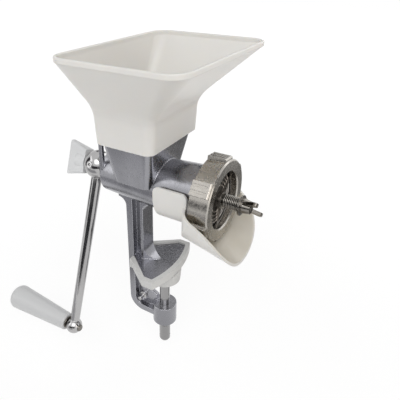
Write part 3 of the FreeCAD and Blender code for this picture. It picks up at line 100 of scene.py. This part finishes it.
# The point by the barrel that the lamps and the standing cards face.
MILL_MIDDLE = (-0.02, 0, 0.07)
# How far above the floor the lying cards are.
CARD_LIFT = 0.004

# Width of the camera's sensor, in millimetres, and the nearest thing that it shows.
SENSOR_WIDTH = 36
NEAREST = 0.01

GREY_PIECES = ("jaw_cover", "clamp_pad")
CAST_PIECES = ("main_casting", "auger")
STEEL_PIECES = (
    "spring_washer", "wing_nut", "grip_axle", "grip_washer", "hub_washer", "rear_thrust_washer",
    "auger_pin", "burr_drive_pins", "fixed_burr_screws", "knob_insert", "pad_socket",
)
BRIGHT_PIECES = ("crank_arm", "crank_set_screw", "cross_pin")
BURRS = ("rotating_burr", "fixed_burr")
BUSHES = ("rear_bush", "front_bush")

# Shades of the knob against the grip, the shaft against bare steel, the screw against the crank.
# The shaft's darker shade is partly its own tone and partly painted shade between the spring's
# coils.
KNOB_SHADE = 1.2
SHAFT_SHADE = 0.45
SCREW_SHADE = 0.72

# Stretch of a noise: none, along an upright casting, and along a drawn rod.
EVEN = (1, 1, 1)
UPRIGHT = (1, 1, 0.35)
DRAWN = (1, 1, 0.2)

# Most of a noise texture's greys lie between these.
NOISE_RANGE = (0.3, 0.7)
# Cosines of the angle by which an edge is rounded: full wear and painted highlight at the first,
# none at the last.
EDGE_WEAR_AND_GLINT_RANGE = (0.86, 0.995)
EDGE_SAMPLES = 6
# Depth of a full-strength relief: the waves of a metal skin and the grain of plastic.
WAVE_DEPTH = 0.002
GRAIN_DEPTH = 0.0004
# How far light goes into milky plastic, and its share for red, green and blue.
MILKY_DEPTH = 0.004
MILKY_SHARE = (1.0, 0.82, 0.62)
# Cosines between a face and the way out from the shaft: full painted shade at the first, none at
# the last.
CHUTE_SHADE_RANGE = (-0.5, -0.1)
# Faintest share of the painted shade where it is patchy.
CHUTE_SHADE_WEAKEST = 0.75

WHITE = (1, 1, 1)
WARM = (1.0, 0.92, 0.82)


def colour_setting(name, description, default):
    """A colour that a user may change."""
    return bpy.props.FloatVectorProperty(
        name=name, description=description, subtype="COLOR", size=3, min=0, max=1, default=default)


class MillFinish(bpy.types.PropertyGroup):
    """Colours of the mill's finishes."""
    white: colour_setting(
        "White plastic", "Colour of the hopper and the guard", (0.80, 0.785, 0.755))
    # Painted shade inside the guard's chute.
    chute_shade: colour_setting(
        "Chute shade", "Colour of the film inside the guard's chute", (0.60, 0.565, 0.49))
    hand: colour_setting(
        "Handle plastic", "Colour of the grip; the knob is paler", (0.63, 0.635, 0.64))
    grey: colour_setting(
        "Grey plastic", "Colour of the jaw cover and the clamp pad", (0.63, 0.63, 0.62))
    alloy: colour_setting(
        "Polished alloy", "Colour of the casting and the feed screw", (0.32, 0.32, 0.342))
    ring: colour_setting(
        "Ring alloy", "Colour of the lugged ring", (0.46, 0.438, 0.405))
    # Dark as painted shade of the disc's recess.
    disc: colour_setting(
        "Disc alloy", "Colour of the pressure disc between its ridges", (0.075, 0.07, 0.065))
    steel: colour_setting(
        "Bare steel", "Colour of the wing nut and washers; the shaft is darker",
        (0.24, 0.225, 0.205))
    spring: colour_setting(
        "Spring steel", "Colour of the adjuster spring", (0.30, 0.285, 0.262))
    bright: colour_setting(
        "Plated steel", "Colour of the crank; the clamp screw is darker", (0.44, 0.435, 0.435))
    iron: colour_setting(
        "Burr iron", "Colour of the burrs", (0.12, 0.12, 0.125))
    bronze: colour_setting(
        "Bearing bronze", "Colour of the bushes", (0.48, 0.31, 0.14))


class MillSpring(bpy.types.PropertyGroup):
    """Sizes of the adjuster spring."""
    wire: bpy.props.FloatProperty(
        name="Wire", description="Wire diameter", unit="LENGTH", default=SPRING_WIRE, min=0.0002)
    coil: bpy.props.FloatProperty(
        name="Coil radius", description="Mean radius of the coils", unit="LENGTH",
        default=SPRING_COIL, min=0.001)
    turns: bpy.props.IntProperty(
        name="Turns", description="Full turns from washer to washer", default=9, min=2, max=20)


class MillStage(bpy.types.PropertyGroup):
    """Camera and floor."""
    lens: bpy.props.FloatProperty(
        name="Lens", description="Focal length on a 36 mm sensor", unit="CAMERA",
        default=37.46, min=5)
    eye: bpy.props.FloatVectorProperty(
        name="Eye", description="Where the camera stands", subtype="TRANSLATION", unit="LENGTH",
        default=(0.1654, -0.2700, 0.2609))
    gaze: bpy.props.FloatVectorProperty(
        name="Gaze", description="Direction in which the camera looks", subtype="DIRECTION",
        default=(-0.4565, 0.7460, -0.4848))
    shift: bpy.props.FloatVectorProperty(
        name="Shift", description="Lens shift, as a share of the picture", size=2,
        default=(0.0875, -0.025))
    floor: bpy.props.FloatProperty(
        name="Floor", description="Height of the floor below the opened clamp", unit="LENGTH",
        default=FLOOR_Z)


def shade(colour, amount):
    """A colour made darker, below 1, or lighter, above 1."""
    return tuple(min(1.0, channel * amount) for channel in colour)


def new_material(name):
    """A new material, its node tree and its shader."""
    mat = bpy.data.materials.new(name)
    mat.use_nodes = True
    tree = mat.node_tree
    return mat, tree, tree.nodes["Principled BSDF"]


def piece_coords(tree):
    """The piece's own coordinates in metres, which are the frame's."""
    return tree.nodes.new("ShaderNodeTexCoord").outputs["Object"]


def noise(tree, coords, scale, detail, stretch=EVEN, roughness=0.5):
    """Noise on the piece's coordinates, stretched along its grain."""
    mapping = tree.nodes.new("ShaderNodeMapping")
    mapping.inputs["Scale"].default_value = stretch
    tree.links.new(coords, mapping.inputs["Vector"])
    texture = tree.nodes.new("ShaderNodeTexNoise")
    texture.inputs["Scale"].default_value = scale
    texture.inputs["Detail"].default_value = detail
    texture.inputs["Roughness"].default_value = roughness
    tree.links.new(mapping.outputs["Vector"], texture.inputs["Vector"])
    return texture.outputs["Fac"]


def spread(tree, source, low, high, span=NOISE_RANGE):
    """Turn the span of a source's values into low to high, and hold it there outside the span."""
    ramp = tree.nodes.new("ShaderNodeMapRange")
    ramp.inputs["From Min"].default_value, ramp.inputs["From Max"].default_value = span
    ramp.inputs["To Min"].default_value = low
    ramp.inputs["To Max"].default_value = high
    tree.links.new(source, ramp.inputs["Value"])
    return ramp.outputs["Result"]


def combine(tree, operation, first, second, kind="ShaderNodeMath"):
    """A Math node, or another kind with a Value output, on two sockets."""
    node = tree.nodes.new(kind)
    node.operation = operation
    tree.links.new(first, node.inputs[0])
    tree.links.new(second, node.inputs[1])
    return node.outputs["Value"]


def facing(tree, first, second):
    """1 where two directions agree, 0 where they are square and -1 where they are opposite."""
    return combine(tree, "DOT_PRODUCT", first, second, kind="ShaderNodeVectorMath")


def flat_normal(tree):
    """The surface's normal without bump or rounding."""
    return tree.nodes.new("ShaderNodeNewGeometry").outputs["Normal"]


def layer(tree, factor, under, over):
    """Lay a colour over another one, or over what a socket gives, as the factor goes to 1."""
    mix = tree.nodes.new("ShaderNodeMix")
    mix.data_type = "RGBA"
    tree.links.new(factor, mix.inputs["Factor"])
    if isinstance(under, bpy.types.NodeSocket):
        tree.links.new(under, mix.inputs["A"])
    else:
        mix.inputs["A"].default_value = (*under, 1)
    mix.inputs["B"].default_value = (*over, 1)
    return mix.outputs["Result"]


def rounded_normal(tree, radius):
    """Normals that run round the edges, as on a cast or moulded piece."""
    bevel = tree.nodes.new("ShaderNodeBevel")
    bevel.samples = EDGE_SAMPLES
    bevel.inputs["Radius"].default_value = radius
    return bevel.outputs["Normal"]


def edge_wear_and_glint(tree, rounded):
    """1 at the edges and 0 on the flat; the edges are lightened partly by polish from handling and
    partly as a painted highlight.
    """
    return spread(tree, facing(tree, rounded, flat_normal(tree)), 1, 0, EDGE_WEAR_AND_GLINT_RANGE)


def bump(tree, bsdf, height, strength, distance, rounded):
    """Raise a fine relief on the rounded normals."""
    node = tree.nodes.new("ShaderNodeBump")
    node.inputs["Strength"].default_value = strength
    node.inputs["Distance"].default_value = distance
    tree.links.new(height, node.inputs["Height"])
    tree.links.new(rounded, node.inputs["Normal"])
    tree.links.new(node.outputs["Normal"], bsdf.inputs["Normal"])


def metal(name, colour, rough, uneven, grain, wave=0.04, stretch=EVEN, mottle=0.2,
          edge=0.0007, wear_and_glint=1.5):
    """Metal with a mottled tint, uneven polish, a slightly wavy skin and brighter edges, partly
    from wear and partly a painted highlight.

    The roughness swings by uneven over marks of the grain's scale, and the tint by mottle. The
    edges are rounded to the radius edge, and are wear_and_glint times as bright, partly from wear
    and partly as a painted highlight.
    """
    mat, tree, bsdf = new_material(name)
    bsdf.inputs["Metallic"].default_value = 1.0
    coords = piece_coords(tree)
    broad = noise(tree, coords, scale=42, detail=1.5, stretch=stretch, roughness=0.4)
    fine = noise(tree, coords, scale=grain, detail=3, stretch=stretch)
    rounded = rounded_normal(tree, edge)
    blotch = spread(tree, broad, 0, 1)
    body = layer(tree, blotch, shade(colour, 1 - mottle), shade(colour, 1 + mottle / 2))
    # Brighter edges: partly polish from wear, partly a painted highlight.
    skin = layer(tree, edge_wear_and_glint(tree, rounded), body, shade(colour, wear_and_glint))
    polish = spread(tree, fine, rough - uneven, rough + uneven)
    tree.links.new(skin, bsdf.inputs["Base Color"])
    tree.links.new(polish, bsdf.inputs["Roughness"])
    bump(tree, bsdf, broad, wave, WAVE_DEPTH, rounded)
    return mat


def ridged_metal(name, colour, rough, uneven, grain, wave, mottle, edge, crest_highlight, fins):
    """Metal of the disc, painted dark as shade, and painted bright on the crests of its ridges as
    a highlight that is duller on its fins and hub.

    The crests' painted highlight is crest_highlight times as bright, and the fins and the hub have
    the share fins of that.
    """
    mat, tree, bsdf = new_material(name)
    bsdf.inputs["Metallic"].default_value = 1.0
    coords = piece_coords(tree)
    place = tree.nodes.new("ShaderNodeSeparateXYZ")
    tree.links.new(coords, place.inputs["Vector"])
    along_shaft = place.outputs["X"]
    broad = noise(tree, coords, scale=60, detail=4)
    fine = noise(tree, coords, scale=grain, detail=3)
    # Painted highlight up the ridges, fading on the fins and the hub.
    crest_highlight_mask = spread(tree, along_shaft, 0, 1, HIGHLIGHT_GROWS)
    above = spread(tree, along_shaft, 1, fins, HIGHLIGHT_FADES)
    blotch = spread(tree, broad, 0, 1)
    body = layer(tree, blotch, shade(colour, 1 - mottle), shade(colour, 1 + mottle))
    skin = layer(tree, combine(tree, "MULTIPLY", crest_highlight_mask, above), body, shade(colour, crest_highlight))
    polish = spread(tree, fine, rough - uneven, rough + uneven)
    tree.links.new(skin, bsdf.inputs["Base Color"])
    tree.links.new(polish, bsdf.inputs["Roughness"])
    bump(tree, bsdf, broad, wave, WAVE_DEPTH, rounded_normal(tree, edge))
    return mat


def plastic(name, colour, rough, grain, relief, drift, milky=0.0, uneven=0.05,
            edge=0.0006, wear_and_glint=1.06):
    """Moulded plastic with a fine grain and softened edges, painted a little lighter, partly from
    wear and partly as a painted highlight.

    The tint goes down to the shade drift in places, and milky is how much light goes in.
    """
    mat, tree, bsdf = new_material(name)
    bsdf.inputs["Subsurface Weight"].default_value = milky
    bsdf.inputs["Subsurface Radius"].default_value = MILKY_SHARE
    bsdf.inputs["Subsurface Scale"].default_value = MILKY_DEPTH
    coords = piece_coords(tree)
    broad = noise(tree, coords, scale=14, detail=2)
    fine = noise(tree, coords, scale=grain, detail=4)
    rounded = rounded_normal(tree, edge)
    body = layer(tree, spread(tree, broad, 0, 1), shade(colour, drift), colour)
    # Lighter edges: partly wear, partly a painted highlight.
    skin = layer(tree, edge_wear_and_glint(tree, rounded), body, shade(colour, wear_and_glint))
    gloss = spread(tree, fine, rough - uneven, rough + uneven)
    tree.links.new(skin, bsdf.inputs["Base Color"])
    tree.links.new(gloss, bsdf.inputs["Roughness"])
    bump(tree, bsdf, fine, relief, GRAIN_DEPTH, rounded)
    return mat


def shade_chute(mat, chute_shade):
    """Paint shade, in patches, on the faces that look towards the shaft."""
    tree = mat.node_tree
    base = tree.nodes["Principled BSDF"].inputs["Base Color"]
    unshaded = base.links[0].from_socket
    coords = piece_coords(tree)
    spoke = tree.nodes.new("ShaderNodeMapping")
    spoke.inputs["Location"].default_value = (0, 0, -SHAFT_Z)
    spoke.inputs["Scale"].default_value = (0, 1, 1)
    tree.links.new(coords, spoke.inputs["Vector"])
    outward = tree.nodes.new("ShaderNodeVectorMath")
    outward.operation = "NORMALIZE"
    tree.links.new(spoke.outputs["Vector"], outward.inputs[0])
    # Painted shade on the faces turned towards the shaft.
    turned = facing(tree, outward.outputs["Vector"], flat_normal(tree))
    inside = spread(tree, turned, 1, 0, CHUTE_SHADE_RANGE)
    patchy = spread(tree, noise(tree, coords, scale=55, detail=4), CHUTE_SHADE_WEAKEST, 1)
    cover = combine(tree, "MULTIPLY", inside, patchy)
    tree.links.new(layer(tree, cover, unshaded, chute_shade), base)
    return mat


def dress(names, mat):
    """Give CAD nodes a finish."""
    for name in names:
        slots = nodes[name].data.materials
        slots.clear()
        slots.append(mat)


class MILL_OT_white(bpy.types.Operator):
    """Finish the hopper, guard, grip and knob in smooth pale plastic"""
    bl_idname = "mill.white"
    bl_label = "White plastic pieces"

    def execute(self, context):
        finish = context.scene.mill_finish
        white, hand = tuple(finish.white), tuple(finish.hand)
        moulded = {"rough": 0.34, "grain": 900, "relief": 0.05, "drift": 0.965}
        smooth = {"rough": 0.32, "grain": 900, "relief": 0.04, "drift": 0.97}
        dress(("hopper",), plastic("white_plastic", white, milky=0.25, **moulded))
        guard = plastic("guard_plastic", white, milky=0.15, **moulded)
        # The guard's chute is painted with shade inside.
        dress(("flour_guard",), shade_chute(guard, tuple(finish.chute_shade)))
        dress(("grip",), plastic("handle_plastic", hand, **smooth))
        dress(("crank_knob",), plastic("knob_plastic", shade(hand, KNOB_SHADE), **smooth))
        return {"FINISHED"}


class MILL_OT_grey(bpy.types.Operator):
    """Finish the jaw cover and the pad in matte grey plastic"""
    bl_idname = "mill.grey"
    bl_label = "Grey plastic pieces"

    def execute(self, context):
        grey = tuple(context.scene.mill_finish.grey)
        dress(GREY_PIECES, plastic(
            "grey_plastic", grey, rough=0.55, grain=700, relief=0.15, drift=0.93))
        return {"FINISHED"}


class MILL_OT_castings(bpy.types.Operator):
    """Finish the casting, the feed screw, the lugged ring and the pressure disc in light alloy"""
    bl_idname = "mill.castings"
    bl_label = "Castings"

    def execute(self, context):
        finish = context.scene.mill_finish
        # The casting's edges come out much brighter: partly wear, partly a painted highlight.
        dress(CAST_PIECES, metal(
            "polished_alloy", tuple(finish.alloy), rough=0.25, uneven=0.05, grain=420,
            wave=0.05, stretch=UPRIGHT, edge=0.0008, wear_and_glint=1.9))
        dress(("ring_nut",), metal(
            "ring_alloy", tuple(finish.ring), rough=0.25, uneven=0.06, grain=500,
            mottle=0.22, edge=0.00035))
        # The disc's dark colour is painted shade, and its ridges carry a painted highlight.
        dress(("pressure_disc",), ridged_metal(
            "disc_alloy", tuple(finish.disc), rough=0.31, uneven=0.07, grain=700,
            wave=0.03, mottle=0.2, edge=0.0002, crest_highlight=9, fins=0.22))
        return {"FINISHED"}


class MILL_OT_steel(bpy.types.Operator):
    """Finish the shaft, washers, nut, crank, clamp screw, burrs and bushes"""
    bl_idname = "mill.steel"
    bl_label = "Steel, iron and bronze pieces"

    def execute(self, context):
        finish = context.scene.mill_finish
        steel, bright = tuple(finish.steel), tuple(finish.bright)
        dress(STEEL_PIECES, metal(
            "bare_steel", steel, rough=0.2, uneven=0.06, grain=800,
            wave=0.03, mottle=0.25, edge=0.00015))
        # The shaft is darker partly in its own tone and partly as painted shade between the
        # spring's coils.
        dress(("main_shaft",), metal(
            "dark_and_shaded_steel", shade(steel, SHAFT_SHADE), rough=0.3, uneven=0.08, grain=800,
            wave=0.02, edge=0.0001, wear_and_glint=2.4))
        dress(BRIGHT_PIECES, metal(
            "plated_steel", bright, rough=0.14, uneven=0.04, grain=300,
            wave=0.02, stretch=DRAWN, mottle=0.15))
        dress(("clamp_screw",), metal(
            "screw_steel", shade(bright, SCREW_SHADE), rough=0.2, uneven=0.05, grain=300,
            wave=0.02, stretch=DRAWN, mottle=0.15))
        dress(BURRS, metal(
            "burr_iron", tuple(finish.iron), rough=0.5, uneven=0.1, grain=900, wave=0.1))
        dress(BUSHES, metal(
            "bronze", tuple(finish.bronze), rough=0.32, uneven=0.06, grain=600))
        return {"FINISHED"}


def wind_coil(wire, coil, turns, length):
    """Wind a round wire about Z into a closed coil that starts at the origin's height."""
    bpy.ops.object.select_all(action="DESELECT")
    bpy.ops.mesh.primitive_circle_add(vertices=WIRE_SIDES, radius=wire / 2, location=(0, 0, 0))
    spring = bpy.context.active_object
    bpy.ops.object.mode_set(mode="EDIT")
    bpy.ops.mesh.select_all(action="SELECT")
    bpy.ops.transform.rotate(value=math.pi / 2, orient_axis="X", center_override=(0, 0, 0))
    bpy.ops.transform.translate(value=(coil, 0, 0))
    bpy.ops.object.mode_set(mode="OBJECT")

    screw = spring.modifiers.new("wind", "SCREW")
    screw.axis = "Z"
    screw.angle = 2 * math.pi
    screw.iterations = turns
    screw.screw_offset = length / turns
    screw.steps = screw.render_steps = STEPS_PER_TURN
    screw.use_merge_vertices = False
    bpy.ops.object.modifier_apply(modifier="wind")

    # Cap both ends of the wire and merge doubled points, then turn all faces outwards.
    bpy.ops.object.mode_set(mode="EDIT")
    bpy.ops.mesh.select_all(action="DESELECT")
    bpy.ops.mesh.select_non_manifold()
    bpy.ops.mesh.edge_face_add()
    bpy.ops.mesh.select_all(action="SELECT")
    bpy.ops.mesh.remove_doubles(threshold=WELD_GAP)
    bpy.ops.mesh.normals_make_consistent(inside=False)
    bpy.ops.object.mode_set(mode="OBJECT")
    return spring


class MILL_OT_spring(bpy.types.Operator):
    """Wind the adjuster spring in place of its CAD solid"""
    bl_idname = "mill.spring"
    bl_label = "Adjuster spring"

    def execute(self, context):
        sizes = context.scene.mill_spring
        low, high = SPRING_ROOM
        spring = wind_coil(sizes.wire, sizes.coil, sizes.turns, high.x - low.x - sizes.wire)
        spring.name = "spring_coil"
        spring.rotation_euler = (0, math.pi / 2, 0)
        spring.location = (low.x + sizes.wire / 2, 0, SHAFT_Z)
        bpy.ops.object.transform_apply(location=True, rotation=True, scale=True)
        bpy.ops.object.shade_smooth_by_angle(angle=CREASE_ANGLE)
        spring.data.materials.append(metal(
            "spring_steel", tuple(context.scene.mill_finish.spring), rough=0.16, uneven=0.04,
            grain=900, wave=0.01, edge=0.00004))
        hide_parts("adjuster_spring")
        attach(spring, "mill")
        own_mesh(spring)
        return {"FINISHED"}


def turn_to(obj, direction, front):
    """Turn an object's front axis to a direction, with its Y axis up."""
    obj.rotation_euler = Vector(direction).to_track_quat(front, "Y").to_euler()


def background_rays(tree):
    """1 for rays that show the background: from the camera, through glass or off a polish."""
    path = tree.nodes.new("ShaderNodeLightPath")
    shown = path.outputs["Is Camera Ray"]
    for ray in ("Is Transmission Ray", "Is Glossy Ray"):
        shown = combine(tree, "MAXIMUM", shown, path.outputs[ray])
    return shown


def light_world(scene):
    """White surroundings that light the mill only softly."""
    scene.world = scene.world or bpy.data.worlds.new("studio")
    scene.world.use_nodes = True
    tree = scene.world.node_tree
    tree.nodes.clear()
    out = tree.nodes.new("ShaderNodeOutputWorld")
    back = tree.nodes.new("ShaderNodeBackground")
    back.inputs["Color"].default_value = (*WHITE, 1)
    level = spread(tree, background_rays(tree), WORLD_LIGHT, 1, (0, 1))
    tree.links.new(level, back.inputs["Strength"])
    tree.links.new(back.outputs["Background"], out.inputs["Surface"])


def lay_floor(height):
    """A pale floor that keeps the mill's shadow and turns to plain white further out."""
    bpy.ops.object.select_all(action="DESELECT")
    bpy.ops.mesh.primitive_plane_add(size=FLOOR_SIZE, location=(0, 0, height))
    floor = bpy.context.active_object
    floor.name = "floor"
    mat, tree, bsdf = new_material("floor_white")
    bsdf.inputs["Base Color"].default_value = (*shade(WHITE, FLOOR_SHADE), 1)
    bsdf.inputs["Roughness"].default_value = FLOOR_ROUGH
    bsdf.inputs["Specular IOR Level"].default_value = 0.0
    glow = tree.nodes.new("ShaderNodeEmission")
    glow.inputs["Color"].default_value = (*WHITE, 1)
    glow.inputs["Strength"].default_value = FLOOR_GLOW
    reach = tree.nodes.new("ShaderNodeVectorMath")
    reach.operation = "LENGTH"
    tree.links.new(piece_coords(tree), reach.inputs[0])
    fade = spread(tree, reach.outputs["Value"], FLOOR_NEAR_WHITE, 1, FLOOR_FADE)
    white_share = combine(tree, "MULTIPLY", background_rays(tree), fade)
    blend = tree.nodes.new("ShaderNodeMixShader")
    tree.links.new(white_share, blend.inputs["Fac"])
    tree.links.new(bsdf.outputs["BSDF"], blend.inputs[1])
    tree.links.new(glow.outputs["Emission"], blend.inputs[2])
    tree.links.new(blend.outputs["Shader"], tree.nodes["Material Output"].inputs["Surface"])
    floor.data.materials.append(mat)


def lamp(name, place, size, power, colour=WHITE):
    """A soft rectangular lamp that faces the mill."""
    data = bpy.data.lights.new(name, "AREA")
    data.shape = "RECTANGLE"
    data.size, data.size_y = size
    data.energy = power
    data.color = colour
    obj = bpy.data.objects.new(name, data)
    bpy.context.collection.objects.link(obj)
    obj.location = place
    turn_to(obj, Vector(MILL_MIDDLE) - Vector(place), "-Z")


def card(name, size, place, colour, aim=MILL_MIDDLE):
    """A card that only shiny pieces show, and that gives no light or shadow."""
    bpy.ops.object.select_all(action="DESELECT")
    bpy.ops.mesh.primitive_plane_add(size=1, location=place)
    obj = bpy.context.active_object
    obj.name = name
    obj.scale = (*size, 1)
    turn_to(obj, Vector(aim) - Vector(place), "Z")
    mat = bpy.data.materials.new(name)
    mat.use_nodes = True
    tree = mat.node_tree
    tree.nodes.clear()
    out = tree.nodes.new("ShaderNodeOutputMaterial")
    emit = tree.nodes.new("ShaderNodeEmission")
    emit.inputs["Color"].default_value = (*colour, 1)
    emit.inputs["Strength"].default_value = 1.0
    tree.links.new(emit.outputs["Emission"], out.inputs["Surface"])
    obj.data.materials.append(mat)
    obj.visible_camera = False
    obj.visible_diffuse = False
    obj.visible_shadow = False


def floor_card(name, size, x, y, floor, colour):
    """A card that lies on the floor and faces up."""
    card(name, size, (x, y, floor + CARD_LIFT), colour, aim=(x, y, floor + 1))


def stand_camera(scene, stage):
    """The camera at the photograph's viewpoint."""
    data = bpy.data.cameras.new("camera")
    data.lens = stage.lens
    data.sensor_width = SENSOR_WIDTH
    data.shift_x, data.shift_y = stage.shift
    data.clip_start = NEAREST
    camera = bpy.data.objects.new("camera", data)
    bpy.context.collection.objects.link(camera)
    camera.location = stage.eye
    turn_to(camera, stage.gaze, "-Z")
    scene.camera = camera


class MILL_OT_stage(bpy.types.Operator):
    """Set the floor, the soft light and the camera"""
    bl_idname = "mill.stage"
    bl_label = "Stage"

    def execute(self, context):
        scene = context.scene
        stage = scene.mill_stage
        scene.view_settings.view_transform = "Standard"
        light_world(scene)
        lay_floor(stage.floor)

        lamp("key", place=(0.5, -0.9, 1.1), size=(1.2, 0.9), power=10)
        lamp("fill", place=(-1.0, -0.6, 0.6), size=(1.0, 1.0), power=3.5)
        lamp("rim", place=(0.2, 1.2, 0.9), size=(1.4, 0.8), power=4)
        lamp("side", place=(1.3, -0.1, 0.35), size=(0.8, 0.8), power=2.4, colour=WARM)

        # Dark and grey shapes for the polished metal to mirror, so that its form can be read.
        card("dark_left", size=(0.5, 1.2), place=(-0.9, -0.35, 0.15), colour=(0.03, 0.03, 0.035))
        card("dark_low", size=(1.4, 0.5), place=(0.1, -0.9, -0.02), colour=(0.05, 0.05, 0.055))
        card("dark_right", size=(0.35, 1.2), place=(0.95, 0.05, 0.2), colour=(0.06, 0.055, 0.05))
        card("dark_back", size=(0.6, 0.5), place=(-0.5, 0.82, 0.54), colour=(0.12, 0.12, 0.125),
             aim=(0, 0, 0))
        floor_card("grey_front", size=(0.34, 0.5), x=0.24, y=0.3, floor=stage.floor,
                   colour=(0.25, 0.246, 0.24))
        floor_card("grey_left", size=(0.5, 0.3), x=-0.26, y=-0.34, floor=stage.floor,
                   colour=(0.5, 0.5, 0.52))

        stand_camera(scene, stage)
        return {"FINISHED"}


class MILL_PT_sidebar(bpy.types.Panel):
    """Lists the mill's settings and operators"""
    bl_idname = "MILL_PT_sidebar"
    bl_label = "Hand grain mill"
    bl_space_type = "VIEW_3D"
    bl_region_type = "UI"
    bl_category = "Mill"

    def draw(self, context):
        layout = self.layout
        scene = context.scene
        for group in (scene.mill_finish, scene.mill_spring, scene.mill_stage):
            box = layout.box()
            for name in group.__annotations__:
                box.prop(group, name)
        for operator in OPERATORS:
            layout.operator(operator.bl_idname)


OPERATORS = (
    MILL_OT_white, MILL_OT_grey, MILL_OT_castings, MILL_OT_steel, MILL_OT_spring, MILL_OT_stage,
)
CLASSES = (MillFinish, MillSpring, MillStage, *OPERATORS, MILL_PT_sidebar)


def register():
    """Make the settings, operators and panel known."""
    for cls in CLASSES:
        bpy.utils.register_class(cls)
    bpy.types.Scene.mill_finish = bpy.props.PointerProperty(type=MillFinish)
    bpy.types.Scene.mill_spring = bpy.props.PointerProperty(type=MillSpring)
    bpy.types.Scene.mill_stage = bpy.props.PointerProperty(type=MillStage)


def unregister():
    """Take away what register added."""
    del bpy.types.Scene.mill_stage
    del bpy.types.Scene.mill_spring
    del bpy.types.Scene.mill_finish
    for cls in reversed(CLASSES):
        bpy.utils.unregister_class(cls)


def main():
    """Finish the mill piece by piece and set the stage."""
    register()
    bpy.ops.mill.white()
    bpy.ops.mill.grey()
    bpy.ops.mill.castings()
    bpy.ops.mill.steel()
    bpy.ops.mill.spring()
    bpy.ops.mill.stage()
    bpy.context.view_layer.update()


if __name__ == "__main__":
    main()
